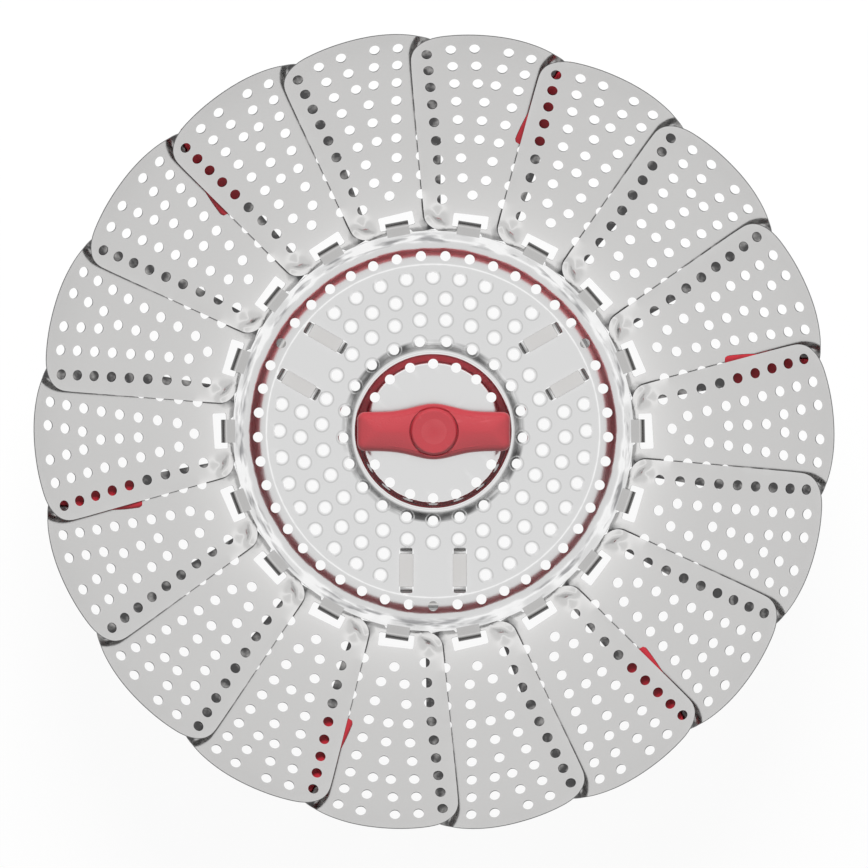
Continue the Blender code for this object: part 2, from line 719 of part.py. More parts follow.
# Handle
def bar_outline(steps=6):
    """Plan of the T-bar: round-cornered ends and a swelling round the cap."""
    half = BAR_LENGTH / 2
    side = []
    for i in range(steps + 1):
        x = -(half - BAR_CORNER) + 2.0 * (half - BAR_CORNER) * i / steps
        swell = math.exp(-((x / (SWELL_REACH_SHARE * BAR_MIDDLE_WIDTH / 2)) ** 2))
        side.append((x, BAR_END_WIDTH / 2 + (BAR_MIDDLE_WIDTH - BAR_END_WIDTH) / 2 * swell))
    ends = []
    for i in (1, 2):
        angle = math.radians(30.0 * i)
        ends.append((half - BAR_CORNER + BAR_CORNER * math.sin(angle),
                     BAR_END_WIDTH / 2 - BAR_CORNER * (1.0 - math.cos(angle))))
    upper = side + ends + [(half, BAR_END_WIDTH / 2 - BAR_CORNER)]
    upper = [(-half, BAR_END_WIDTH / 2 - BAR_CORNER)] + [(-x, y) for x, y in ends[::-1]] + upper
    return upper + [(x, -y) for x, y in upper[::-1]]


def make_handle():
    bar_middle = FLOOR_Z + BAR_BOTTOM + BAR_HEIGHT / 2
    mesh = prism_mesh("handle_bar", bar_outline(), BAR_HEIGHT / 2)
    blank = add_cutter("bar_blank", mesh)
    edges = blank.modifiers.new("edges", "BEVEL")
    edges.width = BAR_ROUNDING
    edges.segments = 1
    edges.limit_method = "ANGLE"
    edges.angle_limit = math.radians(60.0)
    shaped = finished_mesh(blank)
    bpy.data.objects.remove(blank, do_unlink=True)
    half = BAR_LENGTH / 2
    for vertex in shaped.vertices:
        vertex.co.z -= BAR_DROP * (vertex.co.x / half) ** 2
    shaped.transform(shifted(0.0, 0.0, bar_middle))
    bar = add("handle_bar", shaped, RED_PLASTIC)
    bottom = FLOOR_Z + BAR_BOTTOM
    top = bottom + BAR_HEIGHT
    rod_top = top - RECESS_DEPTH - SCREW_SEAT - CLEARANCE
    rod_bottom = ROD_GROUND_ROOM
    flange_z = FLOOR_Z + SHEET / 2 + CLEARANCE
    hub_bottom = flange_z + BUSH_FLANGE + CLEARANCE
    hub = turned("hub", [(0.0, bottom + BAR_HEIGHT / 2), (HUB_RADIUS, bottom + BAR_HEIGHT / 2),
                         (HUB_RADIUS, hub_bottom), (0.0, hub_bottom)], None)
    boolean(bar, hub, "UNION")
    recess = turned("recess", [
        (0.0, top + OVERRUN),
        (CAP_RADIUS + CLEARANCE, top + OVERRUN),
        (CAP_RADIUS + CLEARANCE, top - CAP_HEIGHT + CAP_PROUD - CLEARANCE),
        (SCREW_HEAD_RADIUS + CLEARANCE, top - CAP_HEIGHT + CAP_PROUD - CLEARANCE),
        (SCREW_HEAD_RADIUS + CLEARANCE, top - RECESS_DEPTH),
        (SCREW_RADIUS + CLEARANCE, top - RECESS_DEPTH),
        (SCREW_RADIUS + CLEARANCE, rod_top + CLEARANCE),
        (ROD_RADIUS + CLEARANCE, rod_top + CLEARANCE),
        (ROD_RADIUS + CLEARANCE, hub_bottom - OVERRUN),
        (0.0, hub_bottom - OVERRUN),
    ], None, steps=12)
    boolean(bar, recess, "DIFFERENCE")

    turned("handle_cap", [
        (0.0, top + CAP_PROUD),
        (CAP_FACE_RADIUS, top + CAP_PROUD),
        (CAP_RADIUS, top + CAP_PROUD - CAP_HEIGHT / 2),
        (CAP_RADIUS, top + CAP_PROUD - CAP_HEIGHT),
        (0.0, top + CAP_PROUD - CAP_HEIGHT),
    ], RED_PLASTIC, steps=20)

    head_seat = top - RECESS_DEPTH + CLEARANCE
    screw_hole = SCREW_RADIUS + CLEARANCE
    turned("handle_screw", [
        (0.0, head_seat + SCREW_HEAD), (SCREW_HEAD_RADIUS, head_seat + SCREW_HEAD),
        (SCREW_HEAD_RADIUS, head_seat), (SCREW_RADIUS, head_seat),
        (SCREW_RADIUS, head_seat - SCREW_LENGTH), (0.0, head_seat - SCREW_LENGTH),
    ], STEEL, steps=12)

    hole_depth = SCREW_LENGTH + CLEARANCE
    turned("stem_rod", [
        (screw_hole, rod_top), (ROD_RADIUS, rod_top), (ROD_RADIUS, rod_bottom), (screw_hole, rod_bottom),
        (screw_hole, rod_bottom + hole_depth), (0.0, rod_bottom + hole_depth),
        (0.0, rod_top - hole_depth), (screw_hole, rod_top - hole_depth), (screw_hole, rod_top),
    ], WIRE, steps=12)

    bush_bottom = flange_z - BUSH_LENGTH
    bush_bore = ROD_RADIUS + CLEARANCE
    barrel = BUSH_HOLE_RADIUS - CLEARANCE
    turned("stem_bush", [
        (bush_bore, flange_z + BUSH_FLANGE), (BUSH_FLANGE_RADIUS - BUSH_FLANGE / 2, flange_z + BUSH_FLANGE),
        (BUSH_FLANGE_RADIUS, flange_z), (barrel, flange_z), (barrel, bush_bottom), (bush_bore, bush_bottom),
        (bush_bore, flange_z + BUSH_FLANGE),
    ], DARK_PLASTIC, steps=12)
    nut_top = FLOOR_Z - SHEET / 2 - CLEARANCE
    turned("bush_nut", ring_profile(barrel + CLEARANCE, NUT_RADIUS, nut_top - NUT_HEIGHT, nut_top),
           STEEL, steps=12)
    stop_top = rod_bottom - CLEARANCE
    turned("stem_stop", ring_profile(screw_hole, STOP_RADIUS, stop_top - STOP_HEIGHT, stop_top),
           STEEL, steps=12)
    stop_head = stop_top - STOP_HEIGHT - CLEARANCE
    turned("stop_screw", [
        (0.0, stop_head + SCREW_LENGTH), (SCREW_RADIUS, stop_head + SCREW_LENGTH),
        (SCREW_RADIUS, stop_head), (SCREW_HEAD_RADIUS, stop_head),
        (SCREW_HEAD_RADIUS, stop_head - SCREW_HEAD), (0.0, stop_head - SCREW_HEAD),
    ], STEEL, steps=12)


make_dish()
make_leaves()
make_legs()
make_handle()
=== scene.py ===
import math

import bpy
import numpy as np
from mathutils import Matrix, Vector
from mathutils.geometry import delaunay_2d_cdt


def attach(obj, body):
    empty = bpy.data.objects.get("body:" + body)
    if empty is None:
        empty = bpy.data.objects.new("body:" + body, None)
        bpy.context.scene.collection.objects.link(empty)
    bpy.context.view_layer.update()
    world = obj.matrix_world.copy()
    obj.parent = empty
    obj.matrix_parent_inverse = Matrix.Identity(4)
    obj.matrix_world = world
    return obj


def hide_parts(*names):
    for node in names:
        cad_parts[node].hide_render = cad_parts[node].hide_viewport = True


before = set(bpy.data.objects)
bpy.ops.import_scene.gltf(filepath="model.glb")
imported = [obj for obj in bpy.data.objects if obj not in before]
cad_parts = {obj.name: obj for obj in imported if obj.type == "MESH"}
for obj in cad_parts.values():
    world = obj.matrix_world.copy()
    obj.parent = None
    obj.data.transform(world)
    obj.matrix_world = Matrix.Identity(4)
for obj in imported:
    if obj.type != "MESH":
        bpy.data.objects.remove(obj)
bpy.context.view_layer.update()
mm = 0.001
sharpAngle = 38.0  # degrees between two faces past which their edge is sharp
scene = bpy.context.scene


# mesh helpers: every surface is a whole numpy array in millimetres

def turnZ(points, degrees):
    # turns a list of points about the vertical axis
    c, s = math.cos(math.radians(degrees)), math.sin(math.radians(degrees))
    x, y, z = points[..., 0], points[..., 1], points[..., 2]
    return np.stack([c * x - s * y, s * x + c * y, z], axis=-1)


def paired(x, y):
    # points in plan from their two values
    return np.stack([x, y], axis=-1)


def polar(radius, angle):
    # points in plan at a radius and an angle in radians
    return paired(radius * np.cos(angle), radius * np.sin(angle))


def lattice(x, y):
    # every pair of a value in x and a value in y
    return np.stack(np.meshgrid(x, y, indexing="ij"), axis=-1).reshape(-1, 2)


def bell(offset, width):
    # 1 at no offset, falling to nothing like a bell
    return np.exp(-(offset / width) ** 2)


def gridFaces(rows, columns, closed=False):
    # quads of a rows by columns grid, joined round the columns when closed
    i, j = np.meshgrid(np.arange(rows - 1), np.arange(columns - (0 if closed else 1)), indexing="ij")
    k = (j + 1) % columns
    quads = np.stack([i * columns + j, i * columns + k, (i + 1) * columns + k, (i + 1) * columns + j], axis=-1)
    return quads.reshape(-1, 4).tolist()


def insidePolygon(points, loop):
    # even-odd crossing count of a level ray from each point with each side of the loop
    x, y = points[:, :1], points[:, 1:2]
    a, b = loop, np.roll(loop, -1, axis=0)
    spans = (a[:, 1] > y) != (b[:, 1] > y)
    run = np.where(b[:, 1] == a[:, 1], 1.0, b[:, 1] - a[:, 1])
    cross = (b[:, 0] - a[:, 0]) * (y - a[:, 1]) / run + a[:, 0]
    return (spans & (x < cross)).sum(axis=1) % 2 == 1


def nearest(points, centres):
    # distance from each point to the nearest centre
    return np.sqrt(((points[:, None, :] - centres[None, :, :]) ** 2).sum(axis=2)).min(axis=1)


def resampled(loop, step, closed=True):
    # evenly spaced points along a path
    path = np.vstack([loop, loop[:1]]) if closed else loop
    along = np.concatenate([[0.0], np.cumsum(np.linalg.norm(np.diff(path, axis=0), axis=1))])
    count = max(int(round(along[-1] / step)), 3)
    places = np.linspace(0.0, along[-1], count + 1)[:count + (0 if closed else 1)]
    return np.stack([np.interp(places, along, path[:, i]) for i in range(path.shape[1])], axis=-1)


def cornersCut(path, rounds):
    # an open path with its corners cut at a quarter of each side, its ends kept
    for _ in range(rounds):
        near = 0.75 * path[:-1] + 0.25 * path[1:]
        far = 0.25 * path[:-1] + 0.75 * path[1:]
        inner = np.stack([near, far], axis=1).reshape(-1, path.shape[1])
        path = np.vstack([path[:1], inner, path[-1:]])
    return path


def leftOf(along):
    # the unit vector to the left of each direction in plan
    along = along / np.linalg.norm(along, axis=1, keepdims=True)
    return paired(-along[:, 1], along[:, 0])


def loopLeft(loop):
    # the same at each point of a closed loop
    return leftOf(np.roll(loop, -1, axis=0) - np.roll(loop, 1, axis=0))


def circles(centres, radius, sides):
    # one closed ring of points round each centre
    return centres[:, None, :] + radius * polar(1.0, np.arange(sides) * math.tau / sides)


def corners(low, high):
    # a rectangle from its low to its high corner
    return [low, (high[0], low[1]), high, (low[0], high[1])]


def roundedLoop(low, high, corner, steps):
    # a rectangle rounded by four quarter arcs, from its high corner round
    arc = polar(corner, np.radians(np.arange(steps) * 90.0 / (steps - 1)))
    bottomLeft, bottomRight, topRight, topLeft = corners(np.array(low) + corner, np.array(high) - corner)
    loop = []
    for quarter, middle in enumerate((topRight, topLeft, bottomLeft, bottomRight)):
        c, s = math.cos(quarter * math.pi / 2), math.sin(quarter * math.pi / 2)
        loop.append(middle + arc @ np.array([[c, s], [-s, c]]))
    return np.vstack(loop)


def pierced(outline, rounds, slots, loose):
    # a flat triangulated sheet: the outline, ring loops and slot loops are its borders
    loops = [outline] + list(rounds) + list(slots)
    starts = np.cumsum([0] + [len(loop) for loop in loops])
    borders = [np.stack([np.arange(len(loop)), (np.arange(len(loop)) + 1) % len(loop)], axis=-1) + start
               for loop, start in zip(loops, starts)]
    flat = np.vstack(loops + [loose])
    made = delaunay_2d_cdt(flat.tolist(), np.vstack(borders).tolist(), [], 0, 1e-6)
    points = np.array([tuple(p) for p in made[0]])
    faces = np.array(made[2])
    centre = points[faces].mean(axis=1)
    keep = insidePolygon(centre, outline)
    for slot in slots:
        keep &= ~insidePolygon(centre, slot)
    if len(rounds):
        middles = rounds.mean(axis=1)
        inner = np.linalg.norm(rounds[0] - middles[0], axis=1).min() * math.cos(math.pi / rounds.shape[1])
        keep &= nearest(centre, middles) > inner * 0.999
    faces = faces[keep]
    used, faces = np.unique(faces, return_inverse=True)
    return points[used], faces.reshape(-1, 3)


def thickened(points, faces, thickness):
    # a sheet given its wall: each point moves half the wall along its own normal, both ways
    corners = points[faces]
    flat = np.cross(corners[:, 1] - corners[:, 0], corners[:, 2] - corners[:, 0])
    normal = np.zeros_like(points)
    for i in range(3):
        np.add.at(normal, faces[:, i], flat)
    normal /= np.maximum(np.linalg.norm(normal, axis=1, keepdims=True), 1e-12)
    count = len(points)
    ways = np.vstack([faces[:, [0, 1]], faces[:, [1, 2]], faces[:, [2, 0]]])
    code, back = ways[:, 0] * count + ways[:, 1], ways[:, 1] * count + ways[:, 0]
    rim = ways[~np.isin(code, back)]
    wall = np.stack([rim[:, 1], rim[:, 0], rim[:, 0] + count, rim[:, 1] + count], axis=-1)
    both = np.vstack([points + normal * thickness / 2, points - normal * thickness / 2])
    return both, faces.tolist() + (faces[:, ::-1] + count).tolist() + wall.tolist()


def triangles(quads):
    # each quad as two triangles
    quads = np.asarray(quads)
    return np.vstack([quads[:, [0, 1, 2]], quads[:, [0, 2, 3]]])


def merged(shapes):
    # several (points, faces) shapes as one
    points, faces, start = [], [], 0
    for shapePoints, shapeFaces in shapes:
        points.append(shapePoints)
        faces += [[corner + start for corner in face] for face in shapeFaces]
        start += len(shapePoints)
    return np.vstack(points), faces


def spun(profile, steps):
    # a closed profile of radii and heights turned round the vertical axis
    flat = polar(profile[:, :1], np.arange(steps) * math.tau / steps)
    heights = np.broadcast_to(profile[:, 1:, None], (len(profile), steps, 1))
    points = np.concatenate([flat, heights], axis=-1)
    return points.reshape(-1, 3), gridFaces(len(profile), steps, closed=True)


def softened(profile, radius, closed=False):
    # a profile with round corners: a short parabola in place of each, never past the middle of a side
    profile = np.array(profile)
    rows = []
    count = len(profile)
    t = np.linspace(0.0, 1.0, 5)[:, None]
    for i, here in enumerate(profile):
        if not closed and i in (0, count - 1):
            rows.append(here[None, :])
            continue
        before, after = profile[i - 1] - here, profile[(i + 1) % count] - here
        sides = [max(np.linalg.norm(side), 1e-9) for side in (before, after)]
        cut = min(radius, 0.45 * sides[0], 0.45 * sides[1])
        a, b = here + before / sides[0] * cut, here + after / sides[1] * cut
        rows.append((1 - t) ** 2 * a + 2 * t * (1 - t) * here + t ** 2 * b)
    rows = np.vstack(rows)
    return np.vstack([rows, rows[:1]]) if closed else rows


def linked(name, data):
    # a new object in the scene
    made = bpy.data.objects.new(name, data)
    scene.collection.objects.link(made)
    return made


def piece(name, shape, look, body, slotName, stands, **attributes):
    # puts a shape into the scene, riding on a body; attributes are values at its points, for its material
    points, faces = shape
    mesh = bpy.data.meshes.new(name)
    mesh.from_pydata((points * mm).tolist(), [], faces)
    mesh.validate()
    mesh.shade_smooth()
    mesh.set_sharp_from_angle(angle=math.radians(sharpAngle))
    mesh.materials.append(look)
    for title, values in attributes.items():
        mesh.attributes.new(title, "FLOAT", "POINT").data.foreach_set("value", values)
    made = linked(name, mesh)
    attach(made, body)
    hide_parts(*stands)
    return made


print("helpers ready")


# nodes

def shade(colour):
    # a colour's four values; a single number is an even grey
    return (colour,) * 3 + (1.0,) if isinstance(colour, float) else (*colour, 1.0)


def feed(tree, inputs, values):
    # each value or socket goes to the input that its key names
    for key, value in values.items():
        if isinstance(value, bpy.types.NodeSocket):
            tree.links.new(value, inputs[key])
        else:
            inputs[key].default_value = value


def node(tree, kind, values=None, **settings):
    # a new node: its settings first, because they can change which inputs it has
    made = tree.nodes.new("ShaderNode" + kind)
    for name, setting in settings.items():
        setattr(made, name, setting)
    feed(tree, made.inputs, values or {})
    return made


def mathNode(tree, operation, a, b=None, clamp=False):
    values = {0: a} if b is None else {0: a, 1: b}
    return node(tree, "Math", values, operation=operation, use_clamp=clamp).outputs[0]


def vectorNode(tree, operation, *values):
    return node(tree, "VectorMath", dict(enumerate(values)), operation=operation).outputs["Vector"]


def noiseNode(tree, scale, detail):
    # noise on Object coordinates
    place = node(tree, "TexCoord").outputs["Object"]
    return node(tree, "TexNoise", {"Scale": scale, "Detail": detail, "Vector": place}).outputs["Fac"]


def mixColour(tree, share, colour, other):
    return node(tree, "Mix", {0: share, 6: colour, 7: other}, data_type="RGBA").outputs[2]


def mixShader(tree, share, shader, other):
    return node(tree, "MixShader", {0: share, 1: shader, 2: other}).outputs[0]


def newGroup(name, inputs, outputs):
    # a node group that the materials share; a colour is given as four values
    group = bpy.data.node_groups.new(name, "ShaderNodeTree")
    for title, value in inputs.items():
        kind = "NodeSocketColor" if isinstance(value, tuple) else "NodeSocketFloat"
        group.interface.new_socket(title, in_out="INPUT", socket_type=kind).default_value = value
    for title, kind in outputs.items():
        group.interface.new_socket(title, in_out="OUTPUT", socket_type=kind)
    return group, group.nodes.new("NodeGroupInput").outputs, group.nodes.new("NodeGroupOutput").inputs


def buildGrain():
    # fine grain of a rolled or moulded skin: a roughness and a height round their middle values
    group, inside, outside = newGroup("fineGrain", dict(Scale=900.0, Roughness=0.35, Spread=0.1),
                                      dict(Roughness="NodeSocketFloat", Height="NodeSocketFloat"))
    noise = noiseNode(group, inside["Scale"], 4.0)
    shift = mathNode(group, "MULTIPLY", mathNode(group, "SUBTRACT", noise, 0.5), inside["Spread"])
    feed(group, outside, {"Roughness": mathNode(group, "ADD", shift, inside["Roughness"]), "Height": noise})
    return group


def buildHandling():
    # soft wipe marks: large faint patches that shift the colour a little
    group, inside, outside = newGroup(
        "handlingMarks", dict(Colour=shade(0.6), Marked=shade(0.5), Scale=40.0, Amount=0.3),
        dict(Colour="NodeSocketColor"))
    broad = mathNode(group, "SUBTRACT", noiseNode(group, inside["Scale"], 5.0), 0.42)
    mask = mathNode(group, "MULTIPLY", broad, 2.4, clamp=True)
    amount = mathNode(group, "MULTIPLY", mask, inside["Amount"])
    feed(group, outside, {"Colour": mixColour(group, amount, inside["Colour"], inside["Marked"])})
    return group


def buildEdgeWear():
    # rubbed edges: where the surface turns sharply outwards the colour goes to the worn one
    group, inside, outside = newGroup(
        "edgeWear", dict(Colour=shade(0.6), Worn=shade(0.8), Amount=0.5),
        dict(Colour="NodeSocketColor"))
    turning = node(group, "NewGeometry").outputs["Pointiness"]
    raised = mathNode(group, "SUBTRACT", turning, 0.52)
    broken = mathNode(group, "MULTIPLY", noiseNode(group, 260.0, 2.0), 14.0)
    mask = mathNode(group, "MULTIPLY", raised, broken, clamp=True)
    amount = mathNode(group, "MULTIPLY", mask, inside["Amount"])
    feed(group, outside, {"Colour": mixColour(group, amount, inside["Colour"], inside["Worn"])})
    return group


fineGrain = buildGrain()
handlingMarks = buildHandling()
edgeWear = buildEdgeWear()
everydayUse = dict(markScale=35.0, markAmount=0.3, edgeAmount=0.4, reliefDepth=0.0001)


def finish(name, colour, marked, worn, roughness, spread, grainScale, relief, metallic=0.0, specular=0.5):
    # one finish: marks, worn edges and grain round a Principled BSDF
    look = bpy.data.materials.new(name)
    look.use_nodes = True
    tree = look.node_tree
    marks = node(tree, "Group", node_tree=handlingMarks)
    feed(tree, marks.inputs, {"Colour": shade(colour), "Marked": shade(marked),
                              "Scale": everydayUse["markScale"], "Amount": everydayUse["markAmount"]})
    wear = node(tree, "Group", node_tree=edgeWear)
    feed(tree, wear.inputs, {"Colour": marks.outputs["Colour"], "Worn": shade(worn),
                             "Amount": everydayUse["edgeAmount"]})
    grain = node(tree, "Group", node_tree=fineGrain)
    feed(tree, grain.inputs, {"Scale": grainScale, "Roughness": roughness, "Spread": spread})
    bump = node(tree, "Bump", {"Strength": relief, "Distance": everydayUse["reliefDepth"],
                               "Height": grain.outputs["Height"]})
    feed(tree, tree.nodes["Principled BSDF"].inputs, {
        "Base Color": wear.outputs["Colour"], "Roughness": grain.outputs["Roughness"],
        "Normal": bump.outputs["Normal"], "Metallic": metallic, "Specular IOR Level": specular})
    return look


def paintOver(look, share, colour):
    # lays one more colour over a finish where the share is above 0
    base = look.node_tree.nodes["Principled BSDF"].inputs["Base Color"]
    over = mixColour(look.node_tree, share, base.links[0].from_socket, shade(colour))
    look.node_tree.links.new(over, base)


# painted shade in patches on the flange: noise level where they begin, and how fast they grow
shadePatches = dict(scale=290.0, level=0.28, contrast=4.0)


def paintedShadeWhere(look, attribute, colour, patchy=False):
    # painted shade: a darker colour laid over the finish where the piece's own attribute says
    tree = look.node_tree
    mask = node(tree, "Attribute", attribute_name=attribute).outputs["Fac"]
    if patchy:
        uneven = mathNode(tree, "SUBTRACT", noiseNode(tree, shadePatches["scale"], 3.0), shadePatches["level"])
        uneven = mathNode(tree, "MULTIPLY", uneven, shadePatches["contrast"], clamp=True)
        mask = mathNode(tree, "MULTIPLY", mask, uneven)
    paintOver(look, mask, colour)


# painted dark reflections, round the rim and on the bead's outer side; along and across: how often the noise
# changes round the ring, and per metre of radius
rimReflections = dict(radius=0.0654, width=0.0020, along=6.5, across=520.0, level=0.52, contrast=6.0,
                  colour=(0.30, 0.30, 0.305))
beadReflections = dict(radius=0.0293, width=0.0020, along=2.3, across=140.0, level=0.30, contrast=3.0,
                 colour=0.10)


def paintedReflectionRing(look, marks):
    # painted dark reflections in a ring: noise inside a band of radii, full on the inner half of the band's width
    tree = look.node_tree
    flat = vectorNode(tree, "MULTIPLY", node(tree, "TexCoord").outputs["Object"], (1.0, 1.0, 0.0))
    reach = node(tree, "VectorMath", {0: flat}, operation="LENGTH").outputs["Value"]
    away = mathNode(tree, "ABSOLUTE", mathNode(tree, "SUBTRACT", reach, marks["radius"]))
    band = mathNode(tree, "SUBTRACT", 1.0, mathNode(tree, "DIVIDE", away, marks["width"]), clamp=True)
    # the noise is read round the ring and across it, so the painted reflections run along the ring
    outwards = node(tree, "CombineXYZ", {"Z": mathNode(tree, "MULTIPLY", reach, marks["across"])}).outputs[0]
    place = vectorNode(tree, "MULTIPLY_ADD", vectorNode(tree, "NORMALIZE", flat),
                       (marks["along"], marks["along"], 0.0), outwards)
    noise = node(tree, "TexNoise", {"Scale": 1.0, "Vector": place}).outputs["Fac"]
    patches = mathNode(tree, "SUBTRACT", noise, marks["level"])
    patches = mathNode(tree, "MULTIPLY", patches, marks["contrast"], clamp=True)
    mask = mathNode(tree, "MULTIPLY", mathNode(tree, "MULTIPLY", band, 2.0, clamp=True), patches)
    paintOver(look, mask, marks["colour"])


# each finish: its colour, where it is wiped and where worn, roughness and its spread, grains per metre, relief
# the dish, the leaves and the tongues are one kind of sheet steel given three greys: painted light and shade, for
# the different levels their slopes mirror
leafSteel = finish("leafSatinSteel", (0.62, 0.615, 0.61), (0.585, 0.58, 0.575), 0.72,
                   0.21, 0.06, 1600.0, 0.05, metallic=1.0)
dishSteel = finish("dishBrightSteel", 0.70, 0.67, 0.80, 0.15, 0.05, 1400.0, 0.02, metallic=1.0)
tongueSteel = finish("tongueShadedSteel", (0.50, 0.495, 0.49), (0.43, 0.425, 0.42), 0.55,
                     0.20, 0.08, 1400.0, 0.04, metallic=1.0)
plateSteel = finish("bracketSteel", (0.64, 0.63, 0.62), (0.58, 0.57, 0.56), 0.75,
                    0.32, 0.12, 1200.0, 0.06, metallic=1.0)
wireSteel = finish("bentWireSteel", 0.50, 0.42, 0.66, 0.28, 0.12, 900.0, 0.06, metallic=1.0)
rodSteel = finish("turnedSteel", 0.58, 0.52, 0.70, 0.22, 0.08, 900.0, 0.04, metallic=1.0)
handleRed = finish("handleRedNylon", (0.40, 0.014, 0.026), (0.37, 0.012, 0.022), (0.52, 0.08, 0.09),
                   0.36, 0.12, 2000.0, 0.9, specular=1.0)
guardRed = finish("guardRedSilicone", (0.40, 0.014, 0.026), (0.36, 0.012, 0.022), (0.50, 0.05, 0.06),
                  0.46, 0.08, 1500.0, 0.08)
bushGrey = finish("bushDarkNylon", (0.075, 0.075, 0.078), (0.06, 0.06, 0.062), 0.16, 0.48, 0.10, 1500.0, 0.10)

# the colour of the darkest painted shade, on the straps' ends and the tongues' curls
curlShade = (0.13, 0.128, 0.126)
# painted shade on the flange, which lies under the next leaf, in uneven patches
paintedShadeWhere(leafSteel, "flange", (0.13, 0.13, 0.132), patchy=True)
# painted shade on the leaf's cut walls, standing in for dark reflections round its holes and edges
paintedShadeWhere(leafSteel, "cut", (0.14, 0.14, 0.142))
# painted dark reflections round the rim and on the bead's outer side
paintedReflectionRing(dishSteel, rimReflections)
paintedReflectionRing(dishSteel, beadReflections)
# painted shade round the floor's holes
paintedShadeWhere(dishSteel, "worked", 0.54)
# painted shade on the straps' sloping ends
paintedShadeWhere(dishSteel, "curl", curlShade)
# painted shade on the tongues' curls
paintedShadeWhere(tongueSteel, "curl", curlShade)
print("finishes ready")


# pressed dish

dish = dict(
    floorZ=33.0, wall=0.5, rimRadius=67.7, rimSides=360, bushRadius=4.3, bushSides=48,
    # radius and height above the floor, from the bush hole out to the rim
    profile=((4.3, 0.0), (22.3, 0.0), (22.9, 0.10), (23.5, 0.32), (24.2, 0.74), (24.9, 1.30), (25.5, 1.80),
             (26.0, 2.16), (26.4, 2.40), (26.8, 2.44), (27.3, 2.22), (27.9, 1.74), (28.5, 1.14), (29.1, 0.56),
             (29.7, 0.2), (30.4, 0.06), (31.0, 0.0), (31.7, 0.0), (55.8, 0.0), (56.8, 0.19), (57.5, 0.50),
             (58.3, 0.94), (59.2, 1.52), (60.0, 2.12), (60.8, 2.78), (62.1, 3.94), (63.0, 4.6), (64.5, 5.23),
             (66.0, 5.58), (67.7, 6.0)),
    softness=0.25, holeRadius=1.75, holeSides=24,
    # ring radius, count, first angle, angle left bare each side of a leg
    rings=((22.9, 18, 90.0, 0.0), (30.4, 21, 270.0, 0.0), (37.9, 27, 270.0, 0.0), (45.1, 33, 270.0, 16.0),
           (52.3, 36, 270.0, 14.0), (59.5, 45, 270.0, 0.0)),
    # the mesh between the holes: circles round each hole, and rings from a radius to a radius by a step
    halo=(0.22, 0.5, 0.8, 1.1), haloEnd=67.2, webSides=240, webRoom=1.35, slotRoom=(0.4, 0.3),
    webRings=((5.2, 21.5, 2.2), (21.8, 32.6, 0.42), (33.6, 55.8, 2.2), (56.2, 67.4, 0.42)),
    # what the punch does between the level floor's first and last radius, then the painted shade ring round each
    # hole: its distance from the hole's edge and its width
    level=(28.0, 54.0), drawDepth=0.15, drawWidth=0.36, holeShadeGap=0.8, holeShadeWidth=0.16,
    waveDepth=0.14, waveRadius=64.8, waveWidth=1.5, wavePhases=(0.8, 2.0),
    # dents in the bead's outer side: angle and half-width of each in degrees
    dents=((146.0, 8.0), (188.0, 13.0), (227.0, 7.0), (312.0, 8.0), (52.0, 7.0)),
    dentDepth=0.24, dentRadius=29.1, dentWidth=0.9,
    wallShift=1.2, wallRadius=24.4, wallWidth=0.8, frontShare=0.1, frontRun=12.0,
    legs=(30.0, 150.0, 270.0), slotOffset=9.1, slotWidth=4.8, slotInner=39.7, slotOuter=55.2, slotCorner=1.1,
    strapWidth=4.2, strapLap=0.6, strapSink=0.1, strapRamp=1.6, strapDrop=1.8,
    # painted shade on the straps' sloping ends: its strength, how far past the ramp it reaches, and the run over
    # which it fades
    strapShade=0.65, strapShadeEnd=0.3, strapShadeRun=0.4,
    tongues=18, tongueWidth=7.8, hingeRadius=69.3, tongueBore=2.0, tongueSkew=1.0, tongueWrap=250.0,
    # the last two: where painted shade begins past the hinge on a tongue's curl, and the run over which it grows
    # in
    tongueRun=2.4, tongueShadeFrom=0.9, tongueShadeRun=0.5)
hingeZ = dish["floorZ"] + dish["profile"][-1][1] - dish["wall"] / 2 - dish["tongueBore"]


def dishHeight(radius):
    # height of the sheet at a radius: the profile's straight runs, averaged over a short bell
    runs = np.array(dish["profile"])
    offsets = np.linspace(-2.0, 2.0, 17)
    weights = np.exp(-offsets ** 2 / 2)
    weights /= weights.sum()
    reach = radius[:, None] + offsets * dish["softness"]
    mirrored = np.where(reach > runs[-1, 0], 2 * runs[-1, 0] - reach, reach)
    heights = np.interp(mirrored, runs[:, 0], runs[:, 1])
    heights = np.where(reach > runs[-1, 0], 2 * runs[-1, 1] - heights, heights)
    return heights @ weights


def turned(angles, middle):
    # how far angles in degrees lie from a middle angle, from -180 to 180
    return (angles - middle + 180.0) % 360.0 - 180.0


def dishHoles():
    # rings of even holes, bare beside the legs
    centres = []
    for radius, count, first, bare in dish["rings"]:
        angle = first + 360.0 * np.arange(count) / count
        away = np.abs(turned(angle[:, None], np.array(dish["legs"]))).min(axis=1)
        centres.append(polar(radius, np.radians(angle[away >= bare])))
    return np.vstack(centres)


def slotLoop(legAngle, side):
    # a slot with round corners, in plan
    half = dish["slotWidth"] / 2
    loop = roundedLoop((dish["slotInner"], -half), (dish["slotOuter"], half), dish["slotCorner"], 8)
    loop = resampled(loop + (0.0, side * dish["slotOffset"]), 0.5)
    return turnZ(np.column_stack([loop, np.zeros(len(loop))]), legAngle)[:, :2]


def stripAlong(path, width, thickness):
    # a strip of even width: a path in X and Z carried across Y
    lanes = 7
    across = np.linspace(-width / 2, width / 2, lanes)
    points = np.insert(np.repeat(path, lanes, axis=0), 1, np.tile(across, len(path)), axis=1)
    return thickened(points, triangles(gridFaces(len(path), lanes)), thickness)


def curlPath(run, radius, wrap):
    # a level run to above the axis, then a curl of a given wrap down and round it
    steps = 28
    curl = polar(radius, np.radians(90.0 - wrap * np.arange(steps + 1) / steps))
    level = paired(np.linspace(-run, 0.0, 6)[:-1], np.full(5, radius))
    return np.vstack([level, curl])


